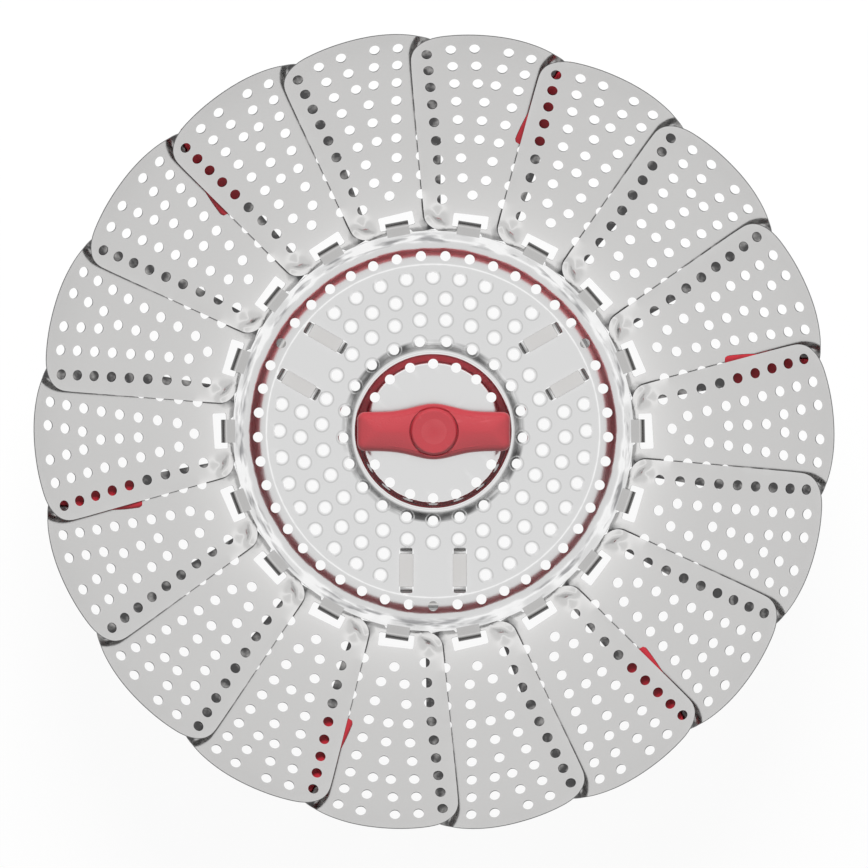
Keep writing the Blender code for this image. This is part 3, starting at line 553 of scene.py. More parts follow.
def dishSheet(centres):
    # the sheet in plan: rim, bush hole, round holes and slots, with a web of loose points between them
    radius, sides, count = dish["holeRadius"], dish["holeSides"], dish["webSides"]
    halo = np.vstack([circles(centres, radius + gap, sides).reshape(-1, 2) for gap in dish["halo"]])
    slots = [slotLoop(leg, side) for leg in dish["legs"] for side in (-1, 1)]
    reach = np.concatenate([np.arange(*run) for run in dish["webRings"]])
    turns = np.arange(count) * math.tau / count
    halfStep = np.where(np.arange(len(reach)) % 2, math.pi / count, 0.0)
    web = polar(reach[:, None], turns[None, :] + halfStep[:, None]).reshape(-1, 2)
    web = web[nearest(web, centres) > radius + dish["webRoom"]]
    slotPoints = np.vstack(slots)
    web = web[nearest(web, slotPoints) > dish["slotRoom"][0]]
    halo = halo[(nearest(halo, slotPoints) > dish["slotRoom"][1]) & (np.hypot(*halo.T) < dish["haloEnd"])]
    outline = circles(np.zeros((1, 2)), dish["rimRadius"], dish["rimSides"])[0]
    bushLoop = circles(np.zeros((1, 2)), dish["bushRadius"], dish["bushSides"])[0]
    return pierced(outline, circles(centres, radius, sides), slots + [bushLoop], np.vstack([halo, web]))


def strapShapes():
    # the lanced loops: each a strap that drops under its slot between two sloping ends
    drop, ramp, lap, sink = (dish[key] for key in ("strapDrop", "strapRamp", "strapLap", "strapSink"))
    inner, outer = dish["slotInner"], dish["slotOuter"]
    runs = np.array([(inner - lap, 0.0), (inner, -sink), (inner + ramp, -drop), (outer - ramp, -drop),
                     (outer, -sink), (outer + lap, 0.0)])
    path = cornersCut(runs, 3) + (0.0, dish["floorZ"])
    points, faces = stripAlong(path, dish["strapWidth"], dish["wall"])
    return [(turnZ(points + (0.0, side * dish["slotOffset"], 0.0), leg), faces)
            for leg in dish["legs"] for side in (-1, 1)]


def dishShape():
    # the sheet in plan lifted to its pressed heights and given its wall, its straps, and where both carry painted
    # shade
    centres = dishHoles()
    flat, faces = dishSheet(centres)
    away = nearest(flat, centres) - dish["holeRadius"]
    x, y = flat.T
    radii, around = np.hypot(x, y), np.arctan2(y, x)
    # the well's wall stands steeper at the front than at the back
    front = np.clip(dish["frontShare"] - y / dish["frontRun"], 0.0, 1.0)
    height = dishHeight(radii - dish["wallShift"] * front * bell(radii - dish["wallRadius"], dish["wallWidth"]))
    # the punch pulls each hole's edge down a little, on the level floor only
    level = (radii > dish["level"][0]) & (radii < dish["level"][1])
    height -= level * dish["drawDepth"] * bell(np.maximum(away, 0.0), dish["drawWidth"])
    # shallow waves that the press leaves round the rim, one long and three short to each leaf
    turn = around * dish["tongues"]
    long, short = dish["wavePhases"]
    rim = bell(radii - dish["waveRadius"], dish["waveWidth"])
    height += dish["waveDepth"] * rim * (np.sin(turn + long) + 0.5 * np.sin(3 * turn + short))
    # dents in the bead, each a bell across it and a flatter one along it
    across = (radii - dish["dentRadius"]) / dish["dentWidth"]
    for angle, halfWidth in dish["dents"]:
        along = turned(np.degrees(around), angle) / halfWidth
        height -= dish["dentDepth"] * np.exp(-across ** 2 - along ** 4)
    sheet = np.column_stack([flat, height + dish["floorZ"]])
    points, faces = merged([thickened(sheet, faces, dish["wall"]), *strapShapes()])

    # a ring of painted shade round each hole of the level floor, on both sides of the sheet
    ring = level * bell(away - dish["holeShadeGap"], dish["holeShadeWidth"])
    straps = points[2 * len(ring):]
    worked = np.concatenate([ring, ring, np.zeros(len(straps))])
    # painted shade on the straps' sloping ends, by how far a point lies from the nearer end of its slot
    along = np.sqrt(np.maximum(straps[:, 0] ** 2 + straps[:, 1] ** 2 - dish["slotOffset"] ** 2, 0.0))
    fromEnd = np.minimum(along - dish["slotInner"], dish["slotOuter"] - along)
    sloping = np.clip((dish["strapRamp"] + dish["strapShadeEnd"] - fromEnd) / dish["strapShadeRun"], 0.0, 1.0)
    return points, faces, worked, np.concatenate([np.zeros(2 * len(ring)), dish["strapShade"] * sloping])


def tonguesShape():
    # a strip for each leaf, level from the rim and curled down round the hinge
    path = curlPath(dish["tongueRun"], dish["tongueBore"] + dish["wall"] / 2, dish["tongueWrap"])
    strip, faces = stripAlong(path, dish["tongueWidth"], dish["wall"])
    seated = turnZ(strip, dish["tongueSkew"]) + (dish["hingeRadius"], 0.0, hingeZ)
    count = dish["tongues"]
    points, faces = merged([(turnZ(seated, 360.0 * k / count), faces) for k in range(count)])
    # painted shade from 0 on a tongue's level run to 1 on the outer half of its curl
    past = np.hypot(points[:, 0], points[:, 1]) - dish["hingeRadius"] - dish["tongueShadeFrom"]
    return points, faces, np.clip(past / dish["tongueShadeRun"], 0.0, 1.0)


dishPoints, dishFaces, dishHoleShade, dishStrapShade = dishShape()
piece("pressedDish", (dishPoints, dishFaces), dishSteel, "dish", "sheet_steel", ["base_dish"],
      worked=dishHoleShade, curl=dishStrapShade)
tonguePoints, tongueFaces, tongueCurlShade = tonguesShape()
piece("hingeTongues", (tonguePoints, tongueFaces), tongueSteel, "dish", "sheet_steel", ["base_dish"],
      curl=tongueCurlShade)
print("dish ready")


# leaves

leaf = dict(
    count=18, length=70.0, lip=1.0, heel=0.5, heelRun=5.0, wall=0.5, rootSlope=18.0, tipSlope=40.0, yaw=3.8,
    roll=3.2, leftRoot=15.0, leftTip=29.8, rightRoot=9.1, rightTip=20.0, flangeRoot=6.2, flangeTip=9.6,
    fold=12.0, foldSoftness=0.8, cornerStart=56.5, cornerLine=((62.4, -25.4), (66.0, -21.2)),
    underlap=(-3.0, -12.6), shoulder=-2.1, neckPlay=0.4, neckRound=0.5,
    # corners of the line that the tip's edge follows, from the left edge round to the fold
    tipLine=((54.0, 26.4), (61.8, 27.5), (67.4, 22.6), (70.2, 13.0), (71.3, 3.0), (70.9, -6.5), (68.9, -15.0)),
    windowWidth=12.0, windowShift=-0.2, windowInner=0.5, windowOuter=5.3, windowCorner=0.4,
    holeRadius=1.75, holeSides=24,
    # pinches of the sheet; the dip grows over a run from the root and fades over one before its end
    pinch=1.0, pinchPlace=(3.9, 11.2), pinchSize=(2.2, 2.0), crease=0.5, creaseEnds=((0.2, 8.6), (3.4, 14.2)),
    creaseWidth=1.2, dip=0.55, dipWidth=4.5, dipStart=4.0, dipGrows=8.0, dipEnd=44.0, dipFades=16.0,
    # perforation: the rows are arcs about a fan centre
    rowFirst=17.95, rowPitch=7.15, rowTighten=0.05, rowArc=52.0, spread=1.34, outerFirst=3.98, innerFirst=2.99,
    axisStart=0.45, axisDrift=0.8, firstHole=(12.1, 0.3), edgeFirst=(9.5, 10.3), edgePitch=7.0,
    edgeTighten=0.148, edgeDrift=0.23, edgeCount=9, foldFirst=10.2, foldPitch=6.65, foldCount=8,
    foldInset=0.3, foldDrift=0.03,
    # the mesh between the holes, and its finer patch from a place to a place where the sheet is pinched
    webStep=1.9, fineStep=0.6, fineFrom=(0.2, 5.6), fineTo=(12.0, 16.2), foldStep=1.2, foldRoom=1.4, haloGap=0.45)


def leftEdge(a):
    return leaf["leftRoot"] + (leaf["leftTip"] - leaf["leftRoot"]) * a / leaf["length"]


def foldLine(a):
    return -leaf["rightRoot"] - (leaf["rightTip"] - leaf["rightRoot"]) * a / leaf["length"]


def flangeEdge(a):
    return foldLine(a) - leaf["flangeRoot"] - (leaf["flangeTip"] - leaf["flangeRoot"]) * a / leaf["length"]


def flangeCorner():
    # the flange's cut-off corner, from its edge round to the end of the fold
    start = leaf["cornerStart"]
    return np.array([(start, flangeEdge(start)), *leaf["cornerLine"]])


def leafOutline():
    # the flat leaf's edge: straight round the root and the hinge, then round the tip with its corners cut
    start = leaf["lip"] + dish["tongueBore"]
    left = np.array([(at, leftEdge(at)) for at in (leaf["heel"], leaf["heel"] + leaf["heelRun"])])
    # the root's right corner reaches in under the next leaf as far as the dish rim
    neck = dish["tongueWidth"] / 2 + leaf["neckPlay"]
    wide = neck + leaf["neckRound"]
    lip, shoulder = -leaf["lip"], leaf["shoulder"]
    root = np.array([(start, flangeEdge(start)), leaf["underlap"], (shoulder, -wide), (lip, -neck), (lip, neck),
                     (shoulder, wide), (shoulder, leaf["windowWidth"] / 2 + start)])
    outer = cornersCut(np.vstack([root[-1:], left, np.array(leaf["tipLine"]), flangeCorner()[::-1], root[:1]]), 3)
    return resampled(np.vstack([root[1:-1], outer])[::-1], 0.8)


def leafHoles():
    # arcs across the panel, one hole before them, a row along the left edge and one along the fold
    row = np.arange(1, 9)
    centre = leaf["rowFirst"] + leaf["rowPitch"] * (row - 1) - leaf["rowTighten"] * (row - 1) * (row - 2)
    axis = leaf["axisStart"] + leaf["axisDrift"] * (row - 1) / 7
    wide = leaf["outerFirst"] + leaf["spread"] * (row - 1)
    narrow = leaf["innerFirst"] + leaf["spread"] * (row[5:] - 6)
    a = np.concatenate([centre, centre, centre[2:5], centre[5:], centre[5:]])
    side = np.concatenate([wide, -wide, np.zeros(3), narrow, -narrow])
    b = side + np.concatenate([axis, axis, axis[2:5], axis[5:], axis[5:]])
    panel = paired(a - side ** 2 / (2 * leaf["rowArc"]), b)
    step = np.arange(leaf["edgeCount"])
    edgeA = leaf["edgeFirst"][0] + leaf["edgePitch"] * step - leaf["edgeTighten"] * step * (step - 1) / 2
    edgeB = leaf["edgeFirst"][1] + leaf["edgeDrift"] * (edgeA - leaf["edgeFirst"][0])
    foldA = leaf["foldFirst"] + leaf["foldPitch"] * np.arange(leaf["foldCount"])
    foldB = foldLine(foldA) + leaf["foldInset"] - leaf["foldDrift"] * (foldA - leaf["foldFirst"])
    return np.vstack([panel, [leaf["firstHole"]], paired(edgeA, edgeB), paired(foldA, foldB)])


def leafPoint(a, b, n=0.0):
    # a flat point bent to the leaf: an even arc along it, a soft fold at the flange, then roll and yaw
    beyond = foldLine(a) - b
    soft = leaf["foldSoftness"]
    bendOver = np.where(beyond > soft, beyond, np.where(beyond < -soft, 0.0, (beyond + soft) ** 2 / (4 * soft)))
    angle = math.radians(leaf["fold"])
    n = n - bendOver * math.sin(angle)
    b = b + bendOver * (1 - math.cos(angle))
    # the left margin dips towards the next leaf, between its start and end along the leaf
    margin = np.clip((b - leftEdge(a)) / leaf["dipWidth"] + 1.0, 0.0, 1.0)
    grown = np.minimum((a - leaf["dipStart"]) / leaf["dipGrows"], (leaf["dipEnd"] - a) / leaf["dipFades"])
    margin = margin * np.clip(grown, 0.0, 1.0)
    n = n - leaf["dip"] * margin ** 2
    # a bell-shaped pinch beside the window
    away = [(at - middle) / size for at, middle, size in zip((a, b), leaf["pinchPlace"], leaf["pinchSize"])]
    n = n + leaf["pinch"] * np.exp(-away[0] ** 2 - away[1] ** 2)
    # and a crease beside it: a bell across its line, fading out past both ends
    head, tail = np.array(leaf["creaseEnds"])
    reach = np.linalg.norm(tail - head)
    run = (tail - head) / reach
    along = (a - head[0]) * run[0] + (b - head[1]) * run[1]
    across = (a - head[0]) * run[1] - (b - head[1]) * run[0]
    past = np.maximum(np.maximum(-along, along - reach), 0.0)
    n = n - leaf["crease"] * np.exp(-(across / leaf["creaseWidth"]) ** 2 - past ** 2)
    root, tip = math.radians(leaf["rootSlope"]), math.radians(leaf["tipSlope"])
    rate = (tip - root) / leaf["length"]
    slope = root + rate * a
    out = (np.sin(slope) - math.sin(root)) / rate - n * np.sin(slope)
    up = (math.cos(root) - np.cos(slope)) / rate + n * np.cos(slope)
    roll = math.radians(leaf["roll"])
    y = b * math.cos(roll) - up * math.sin(roll)
    z = b * math.sin(roll) + up * math.cos(roll)
    placed = turnZ(np.stack([out, y, z], axis=-1), leaf["yaw"])
    return placed + (dish["hingeRadius"], 0.0, hingeZ)


def leafWeb(outline, holes, window):
    # loose points of the leaf's mesh: staggered rows, a finer patch, rings round the holes, lines on the fold
    step, soft, radius = leaf["webStep"], leaf["foldSoftness"], leaf["holeRadius"]
    a, b = np.meshgrid(np.arange(-1.0, 71.0, step), np.arange(-31.0, 28.0, step), indexing="ij")
    b = b + np.where(np.arange(a.shape[0]) % 2, step / 2, 0.0)[:, None]
    web = paired(a.ravel(), b.ravel())
    (lowA, lowB), (highA, highB) = leaf["fineFrom"], leaf["fineTo"]
    web = np.vstack([web[(web[:, 0] > highA) | (web[:, 1] < lowB)],
                     lattice(np.arange(lowA, highA, leaf["fineStep"]), np.arange(lowB, highB, leaf["fineStep"]))])
    along = np.arange(3.5, 63.0, leaf["foldStep"])
    creases = np.vstack([paired(along, foldLine(along) + gap) for gap in (-soft, 0.0, soft)])
    web = web[np.abs(foldLine(web[:, 0]) - web[:, 1]) > leaf["foldRoom"]]
    halo = circles(holes, radius + leaf["haloGap"], leaf["holeSides"]).reshape(-1, 2)
    creases = creases[nearest(creases, holes) > radius + 0.7]
    web = np.vstack([web[nearest(web, holes) > radius + 1.0], halo, creases])
    web = web[insidePolygon(web, outline) & (nearest(web, outline) > 0.6) & (nearest(web, window) > 0.5)]
    return web[(nearest(web, holes) > radius + 0.3) & ~insidePolygon(web, window)]


def leafShape():
    # the flat pierced leaf bent point by point and given its wall, and where it is flange
    outline = leafOutline()
    holes = leafHoles()
    half, shift = leaf["windowWidth"] / 2, leaf["windowShift"]
    low, high = (leaf["windowInner"], shift - half), (leaf["windowOuter"], shift + half)
    window = resampled(softened(corners(low, high), leaf["windowCorner"], closed=True)[:-1], 0.6)
    rings = circles(holes, leaf["holeRadius"], leaf["holeSides"])
    flat, faces = pierced(outline, rings, [window], leafWeb(outline, holes, window))
    # how far past the fold each point lies, from 0 on the panel to 1 on the flange
    flange = np.clip((foldLine(flat[:, 0]) - flat[:, 1]) / leaf["foldSoftness"], 0.0, 1.0)
    return *thickened(leafPoint(flat[:, 0], flat[:, 1]), faces, leaf["wall"]), np.concatenate([flange, flange])


leafPoints, leafFaces, leafFlange = leafShape()
for k in range(leaf["count"]):
    body = "leaf_%02d" % (k + 1)
    sheet = piece("leafSheet%02d" % (k + 1), (turnZ(leafPoints, 360.0 * k / leaf["count"]), leafFaces),
                  leafSteel, body, "sheet_steel", [body], flange=leafFlange).data
    # the sheet's two sides are triangles, and its cut edges have four corners: these edges get painted shade
    cornerCounts = np.empty(len(sheet.polygons), dtype=np.int32)
    sheet.polygons.foreach_get("loop_total", cornerCounts)
    sheet.attributes.new("cut", "FLOAT", "FACE").data.foreach_set("value", (cornerCounts == 4).astype(float))
print("leaves ready:", len(leafFaces), "faces each")


# soft guards on every third leaf

guard = dict(
    every=3, first=1, length=40.5, wall=0.78, play=0.33, lap=10.9, lapEnd=3.6, lapFade=2.2, noseShare=0.85,
    # share of the length over which each end is rounded, and how blunt it stays
    startRound=0.05, startBlunt=0.04, endRound=0.06, endBlunt=0.10, lipBevel=0.18, lipTuck=0.12)


def guardShape():
    # a U section, open towards the leaf's middle, carried along the flange's edge and round its corner
    start = leaf["length"] - guard["length"]
    corner = flangeCorner()
    nose = corner[-1] + (corner[-2] - corner[-1]) * guard["noseShare"]
    edge = cornersCut(np.vstack([(start, flangeEdge(start)), corner[:-1], nose]), 2)
    edge = resampled(edge, 0.8, closed=False)
    inward = leftOf(np.gradient(edge, axis=0))
    share = np.linspace(0.0, 1.0, len(edge))
    lap = guard["lapEnd"] + (guard["lap"] - guard["lapEnd"]) * (1 - share ** guard["lapFade"])
    lap = lap * np.sqrt(np.clip(share / guard["startRound"], guard["startBlunt"], 1.0))
    lap = lap * np.sqrt(np.clip((1 - share) / guard["endRound"], guard["endBlunt"], 1.0))
    play, bevel = guard["play"], guard["lipBevel"]
    inner = leaf["wall"] / 2 + play
    outer = inner + guard["wall"]
    # section: share of the lap inwards, extra distance inwards, height
    upper = np.array([(1.0, 0.0, inner), (1.0, -guard["lipTuck"], inner + bevel), (0.96, 0.0, outer - bevel),
                      (0.9, 0.0, outer), (0.5, 0.0, outer)])
    turn = np.radians(np.linspace(90.0, -90.0, 9))
    back = np.stack([np.zeros(9), -(play + guard["wall"] * np.cos(turn)), outer * np.sin(turn)], axis=-1)
    hollow = np.array([(0.5, 0.0, -inner), (0.0, -play, -inner), (0.0, -play, inner), (0.5, 0.0, inner)])
    section = np.vstack([upper, back, upper[::-1] * (1.0, 1.0, -1.0), hollow])
    depth = lap[:, None] * section[:, 0] + section[:, 1]
    flat = edge[:, None, :] + inward[:, None, :] * depth[..., None]
    height = np.repeat(section[None, :, 2], len(edge), axis=0)
    points = leafPoint(flat[..., 0], flat[..., 1], height)
    rows, columns = depth.shape
    caps = [list(range(columns))[::-1], list(range((rows - 1) * columns, rows * columns))]
    return points.reshape(-1, 3), gridFaces(rows, columns, closed=True) + caps


guardPoints, guardFaces = guardShape()
for number, k in enumerate(range(guard["first"], leaf["count"], guard["every"]), 1):
    piece("edgeGuard%d" % number, (turnZ(guardPoints, 360.0 * k / leaf["count"]), guardFaces),
          guardRed, "leaf_%02d" % (k + 1), "red_silicone", ["edge_guard_%d" % number])
print("guards ready")


# leg brackets and wire legs

leg = dict(
    wire=1.5, wireSides=20, bore=1.8, halfWidth=5.4, corner=1.9, pivotRadius=57.0, splay=9.8, plate=0.7,
    plateInner=41.9, plateOuter=53.0, plateHalf=12.5, plateCorner=0.8, plateGap=0.3, barrelHalf=3.1,
    barrelRun=5.5, wrap=290.0, footFlat=0.3)
bracketZ = dish["floorZ"] - dish["wall"] / 2 - leg["plateGap"] - leg["plate"]
pivotZ = bracketZ - leg["bore"]


def bracketShape():
    # a plate under the floor and a strip of it curled round the wire
    inner, outer, half = leg["plateInner"], leg["plateOuter"], leg["plateHalf"]
    outline = softened(corners((inner, -half), (outer, half)), leg["plateCorner"], closed=True)
    outline = resampled(outline[:-1], 0.5)
    web = lattice(np.arange(inner + 0.6, outer, 2.0), np.arange(1.0 - half, half - 0.5, 2.3))
    flat, faces = pierced(outline, (), [], web)
    middleZ = np.full(len(flat), bracketZ + leg["plate"] / 2)
    plate = thickened(np.column_stack([flat, middleZ]), faces, leg["plate"])
    path = curlPath(leg["barrelRun"], leg["bore"] + leg["plate"] / 2, leg["wrap"])
    points, faces = stripAlong(path, 2 * leg["barrelHalf"], leg["plate"])
    return merged([plate, (points + (leg["pivotRadius"], 0.0, pivotZ), faces)])


def wireShape():
    # a circle carried round a closed rectangle with round corners; the foot is pressed flat on the ground
    splay = math.radians(leg["splay"])
    length = (pivotZ - leg["wire"] + leg["footFlat"]) / math.cos(splay)
    half, sides = leg["halfWidth"], leg["wireSides"]
    route = resampled(roundedLoop((-half, -length), (half, 0.0), leg["corner"], 9), 0.7)
    side = -loopLeft(route)
    turn = np.arange(sides) * math.tau / sides
    y = route[:, :1] + side[:, :1] * leg["wire"] * np.cos(turn)
    z = route[:, 1:] + side[:, 1:] * leg["wire"] * np.cos(turn)
    x = np.repeat(leg["wire"] * np.sin(turn)[None, :], len(route), axis=0)
    c, s = math.cos(splay), math.sin(splay)
    points = np.stack([x * c - z * s + leg["pivotRadius"], y, np.maximum(x * s + z * c + pivotZ, 0.0)], axis=-1)
    # the last ring of the route joins the first
    count = len(route) * sides
    last = (np.array(gridFaces(2, sides, closed=True)) + count - sides) % count
    return points.reshape(-1, 3), gridFaces(len(route), sides, closed=True) + last.tolist()


bracketPoints, bracketFaces = bracketShape()
wirePoints, wireFaces = wireShape()
for number, angle in enumerate(dish["legs"], 1):
    piece("legBracket%d" % number, (turnZ(bracketPoints, angle), bracketFaces), plateSteel, "dish",
          "sheet_steel", ["leg_bracket_%d" % number])
    piece("wireLeg%d" % number, (turnZ(wirePoints, angle), wireFaces), wireSteel, "leg_%d" % number,
          "wire_steel", ["wire_leg_%d" % number])
print("legs ready")


# lifting handle

handle = dict(
    length=51.3, endWidth=13.1, middleWidth=18.7, outlinePoints=160, bottom=13.5, height=7.0, drop=1.5,
    topRounding=2.6, lowRounding=1.4, corner=2.5, crown=1.2, crownReach=6.3, shoulderTilt=18.0, hubRadius=6.0,
    hubFillet=0.3, capRadius=7.85, capFace=7.15, capHeight=1.8, capProud=0.4, play=0.3, grooveDepth=1.4,
    grooveBevel=0.35, recess=3.6, screwSeat=1.0, rod=2.5, groundRoom=5.0, screw=1.3, screwLength=7.0,
    headRadius=3.0, head=1.4, bushWall=1.2, bushLip=2.7, bushFlange=1.2, bushLength=5.0, nutHeight=2.5,
    stopRadius=5.0, stopHeight=1.2)
barBottom = dish["floorZ"] + handle["bottom"]
barTop = barBottom + handle["height"]
flangeZ = dish["floorZ"] + dish["wall"] / 2 + handle["play"]
hubBottom = flangeZ + handle["bushFlange"] + handle["play"]
seatZ = barTop - handle["recess"]


def barOutline():
    # plan of the bar: a bell-shaped swelling round the cap and round-cornered ends
    half, corner, endHalf = handle["length"] / 2, handle["corner"], handle["endWidth"] / 2
    x = np.linspace(-(half - corner), half - corner, 60)
    y = endHalf + (handle["middleWidth"] - handle["endWidth"]) / 2 * bell(x, handle["middleWidth"] / 2)
    end = polar(corner, np.radians(np.linspace(90.0, 0.0, 12)[1:])) + (half - corner, endHalf - corner)
    upper = np.vstack([paired(x, y), end])
    lower = upper[::-1] * (1.0, -1.0)
    right = np.vstack([upper[30:], lower[:-30]])
    left = right[::-1] * (-1.0, 1.0)
    loop = np.vstack([right, left])[::-1]
    return resampled(loop, np.linalg.norm(np.diff(loop, axis=0), axis=1).sum() / handle["outlinePoints"])


def inset(loop, distance):
    # a closed loop moved inwards along its own normals
    return loop + loopLeft(loop) * distance


def barShape():
    # rings from the cap's recess out over the crowned top, round the edge, and in under it to the hub
    loop = barOutline()
    unit = polar(1.0, np.arctan2(loop[:, 1], loop[:, 0]))
    play, hub, full = handle["play"], handle["hubRadius"], handle["height"]
    top, low, bevel = handle["topRounding"], handle["lowRounding"], handle["grooveBevel"]
    rod, screw, head, recess = (handle[key] + play for key in ("rod", "screw", "headRadius", "capRadius"))
    seat, groove = full - handle["recess"], full - handle["grooveDepth"]
    seatEnd = seat - handle["screwSeat"]
    hubEnd = hubBottom - barBottom
    rows = []

    def addRow(flat, height):
        # a ring on the outline's side of the cap: it sags towards the bar's ends
        sag = handle["drop"] * (flat[:, 0] / (handle["length"] / 2)) ** 2
        rows.append(np.column_stack([flat, barBottom + height - sag]))

    def addCircles(*rings):
        # level circles, each a radius and a height above the bar's underside
        for radius, height in rings:
            rows.append(np.column_stack([unit * radius, np.full(len(unit), barBottom + height)]))

    def crowned(flat):
        # the top falls towards the outline with the square of the nearness to it
        close = np.maximum(1 - nearest(flat, shoulder) / handle["crownReach"], 0.0)
        return handle["crown"] * close ** 2

    tilt = math.radians(handle["shoulderTilt"])
    shoulder = inset(loop, top * (1 - math.sin(tilt)))
    addCircles((rod, seatEnd), (screw, seatEnd), (screw, seat), (head, seat), (head, groove), (recess, groove))
    for out, down in ((0.0, bevel), (0.12, 0.1)):
        flat = unit * (recess + out)
        addRow(flat, full - down - crowned(flat))
    # the crowned top from the cap out to the shoulder, then the shoulder's round
    for t in np.linspace(0.0, 1.0, 14):
        flat = unit * (recess + bevel) * (1 - t) + shoulder * t
        addRow(flat, full - crowned(flat))
    for t in np.linspace(tilt, math.radians(90.0), 8)[1:]:
        addRow(inset(loop, top * (1 - math.sin(t))),
               full - handle["crown"] - top * (math.cos(tilt) - math.cos(t)))
    for t in np.radians(np.linspace(0.0, 90.0, 6)):
        addRow(inset(loop, low * (1 - math.cos(t))), low * (1 - math.sin(t)))
    # in under the bar to the hub, and down it
    for t in np.linspace(0.15, 1.0, 6):
        addRow(inset(loop, low) * (1 - t) + unit * (hub + 1.0) * t, 0.0)
    addRow(unit * (hub + handle["hubFillet"]), -handle["hubFillet"])
    addRow(unit * hub, -1.0)
    addCircles((hub, hubEnd + 0.3), (hub - 0.3, hubEnd), (rod, hubEnd), (rod, seatEnd))
    faces = gridFaces(len(rows), len(loop), closed=True)
    return np.vstack(rows), [face[::-1] for face in faces]


piece("handleBar", barShape(), handleRed, "handle", "red_plastic", ["handle_bar"])


def screwProfile(seat, up):
    # head and shank of a screw on its seat; up is 1 for a head above the seat and -1 below
    wide, shank, head, length = (handle[key] for key in ("headRadius", "screw", "head", "screwLength"))
    rows = ((0.0, head), (wide - 0.4, head), (wide, head / 2), (wide, 0.0), (shank, 0.0), (shank, 0.6 - length),
            (shank - 0.4, -length), (0.0, -length))
    return softened(np.array(rows) * (1.0, up) + (0.0, seat), 0.15)


def ringProfile(inner, outer, bottom, top, softness):
    # a flat ring's four corners, made a little round
    return softened([(inner, top), (outer, top), (outer, bottom), (inner, bottom)], softness, closed=True)


capTop = barTop + handle["capProud"]
capBottom = capTop - handle["capHeight"]
capProfile = softened([
    (0.0, capTop - 0.15), (4.5, capTop - 0.12), (handle["capFace"] - 0.5, capTop),
    (handle["capFace"], capTop - 0.05), (handle["capRadius"], capTop - handle["capHeight"] / 2),
    (handle["capRadius"], capBottom), (0.0, capBottom)], 0.35)

rodTop, rodBottom = seatZ - handle["screwSeat"] - handle["play"], handle["groundRoom"]
bore = handle["screw"] + handle["play"]
depth = handle["screwLength"] + handle["play"]
rodProfile = softened([
    (0.0, rodTop - depth), (bore, rodTop - depth), (bore, rodTop), (handle["rod"], rodTop),
    (handle["rod"], rodBottom), (bore, rodBottom), (bore, rodBottom + depth), (0.0, rodBottom + depth)], 0.25)

bushBore = handle["rod"] + handle["play"]
bushBarrel = bushBore + handle["bushWall"]
bushOuter = bushBarrel + handle["play"] + handle["bushLip"]
bushTop, bushEnd = flangeZ + handle["bushFlange"], flangeZ - handle["bushLength"]
bushProfile = softened([
    (bushBore, bushTop), (bushOuter - 0.6, bushTop), (bushOuter, flangeZ), (bushBarrel, flangeZ),
    (bushBarrel, bushEnd), (bushBore, bushEnd)], 0.2, closed=True)
nutTop = dish["floorZ"] - dish["wall"] / 2 - handle["play"]
nutProfile = ringProfile(bushBarrel + handle["play"], bushOuter, nutTop - handle["nutHeight"], nutTop, 0.25)
stopTop = rodBottom - handle["play"]
stopBottom = stopTop - handle["stopHeight"]
stopProfile = ringProfile(bore, handle["stopRadius"], stopBottom, stopTop, 0.2)

seated = screwProfile(seatZ + handle["play"], 1)
hanging = screwProfile(stopBottom - handle["play"], -1)
for name, profile, steps, look, body, slotName, stands in (
        ("handleCap", capProfile, 96, handleRed, "handle", "red_plastic", "handle_cap"),
        ("liftRod", rodProfile, 64, rodSteel, "handle", "wire_steel", "stem_rod"),
        ("barScrew", seated, 72, rodSteel, "handle", "sheet_steel", "handle_screw"),
        ("floorBush", bushProfile, 72, bushGrey, "dish", "dark_plastic", "stem_bush"),
        ("bushNut", nutProfile, 72, rodSteel, "dish", "sheet_steel", "bush_nut"),
        ("rodStop", stopProfile, 72, rodSteel, "handle", "sheet_steel", "stem_stop"),
        ("stopScrew", hanging, 72, rodSteel, "handle", "sheet_steel", "stop_screw")):
    piece(name, spun(profile, steps), look, body, slotName, [stands])
print("handle ready")


# floor, light and camera

backdrop = dict(reach=3.0, seen=0.93, mirrored=0.93, grey=0.9)


def backdropMaterial():
    # near white to the camera and in reflections, a plain diffuse floor to everything else
    look = bpy.data.materials.new("whiteFloor")
    look.use_nodes = True
    tree = look.node_tree
    tree.nodes.clear()
    path = node(tree, "LightPath").outputs
    straight = mathNode(tree, "ADD", path["Is Camera Ray"], path["Is Transmission Ray"])
    seen = mathNode(tree, "MULTIPLY", straight, backdrop["seen"])
    mirrored = mathNode(tree, "MULTIPLY", path["Is Glossy Ray"], backdrop["mirrored"])
    share = mathNode(tree, "ADD", seen, mirrored, clamp=True)
    diffuse = node(tree, "BsdfDiffuse", {"Color": shade(backdrop["grey"])}).outputs[0]
    bright = node(tree, "Emission", {"Strength": 1.0}).outputs[0]
    node(tree, "OutputMaterial", {"Surface": mixShader(tree, share, diffuse, bright)})
    return look


floorMesh = bpy.data.meshes.new("floor")
reach = backdrop["reach"]
floorMesh.from_pydata([(-reach, -reach, 0), (reach, -reach, 0), (reach, reach, 0), (-reach, reach, 0)], [],
                      [(0, 1, 2, 3)])
floorMesh.materials.append(backdropMaterial())
floor = linked("floor", floorMesh)

# light on matt surfaces, and the levels that polished steel mirrors
studio = dict(diffuse=0.50, grey=0.8, brightest=1.5, zenith=1.0, ring=1.35, glow=1.0, sides=0.96, horizon=0.30)
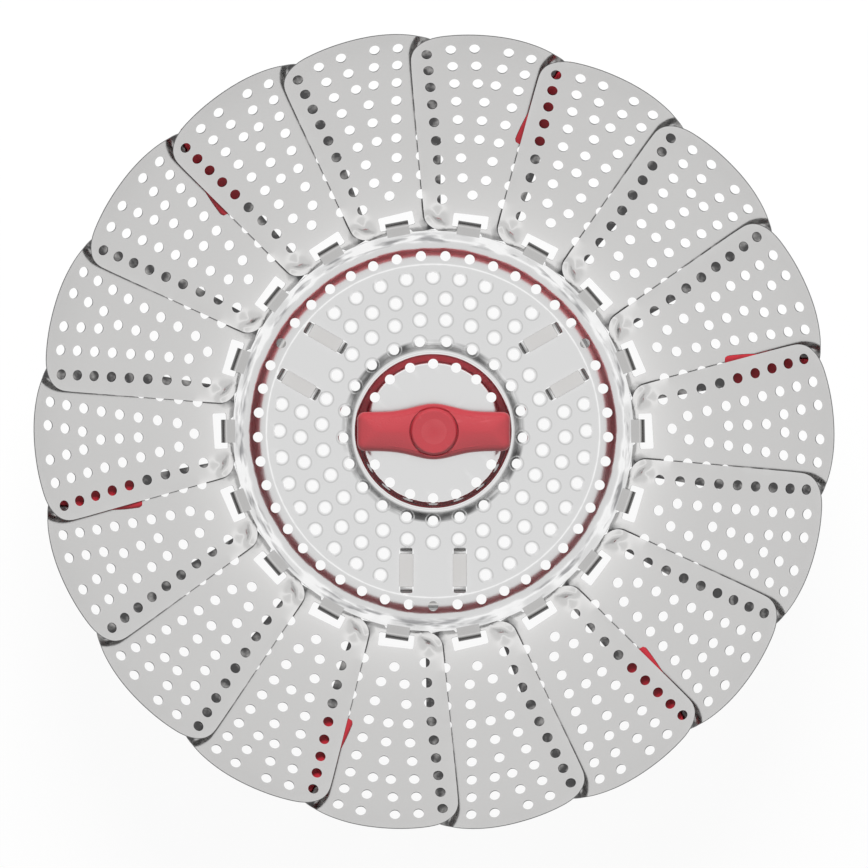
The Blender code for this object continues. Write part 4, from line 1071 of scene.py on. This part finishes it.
# where each level stands: the height of the direction, from level at 0 to straight up at 1
stops = ((0.0, "horizon"), (0.03, "horizon"), (0.28, "sides"), (0.66, "sides"), (0.79, "glow"), (0.845, "ring"),
         (0.88, "ring"), (0.94, "zenith"))
world = bpy.data.worlds.new("studio")
scene.world = world
world.use_nodes = True
tree = world.node_tree
tree.nodes.clear()
height = node(tree, "SeparateXYZ", {0: node(tree, "TexCoord").outputs["Generated"]}).outputs["Z"]
ramp = node(tree, "ValToRGB", {"Fac": height})
ramp.color_ramp.interpolation = "EASE"
while len(ramp.color_ramp.elements) < len(stops):
    ramp.color_ramp.elements.new(0.5)
for element, (position, level) in zip(ramp.color_ramp.elements, stops):
    element.position = position
    element.color = shade(studio[level] / studio["brightest"])
path = node(tree, "LightPath").outputs
mirrored, soft, white = (node(tree, "Background", {"Color": colour, "Strength": strength}).outputs[0]
                         for colour, strength in ((ramp.outputs["Color"], studio["brightest"]),
                                                  (shade(studio["grey"]), studio["diffuse"]), (shade(1.0), 1.0)))
lit = mixShader(tree, path["Is Glossy Ray"], soft, mirrored)
node(tree, "OutputWorld", {"Surface": mixShader(tree, path["Is Camera Ray"], lit, white)})

softbox = dict(size=0.5, energy=12.5, place=(0.0, 0.74, 0.78), aim=(0, 0, 0.04))
lamp = bpy.data.lights.new("softbox", "AREA")
lamp.shape = "DISK"
lamp.size = softbox["size"]
lamp.energy = softbox["energy"]
lampObject = linked("softbox", lamp)
lampObject.location = softbox["place"]
lampObject.rotation_euler = (Vector(softbox["aim"]) - lampObject.location).to_track_quat("-Z", "Y").to_euler()
lampObject.visible_glossy = False

view = dict(place=(-0.0159, 0.0132, 1.083), aim=(0.00031, -0.00105, 0.033), lens=128.1, sensor=36.0, near=0.05)
cameraData = bpy.data.cameras.new("camera")
cameraData.lens = view["lens"]
cameraData.sensor_width = view["sensor"]
cameraData.clip_start = view["near"]
camera = linked("camera", cameraData)
camera.location = view["place"]
back = (Vector(view["place"]) - Vector(view["aim"])).normalized()
right = Vector((0, 1, 0)).cross(back).normalized()
camera.rotation_euler = Matrix((right, back.cross(right), back)).transposed().to_euler()
scene.camera = camera
scene.view_settings.view_transform = "Standard"
print("studio ready")
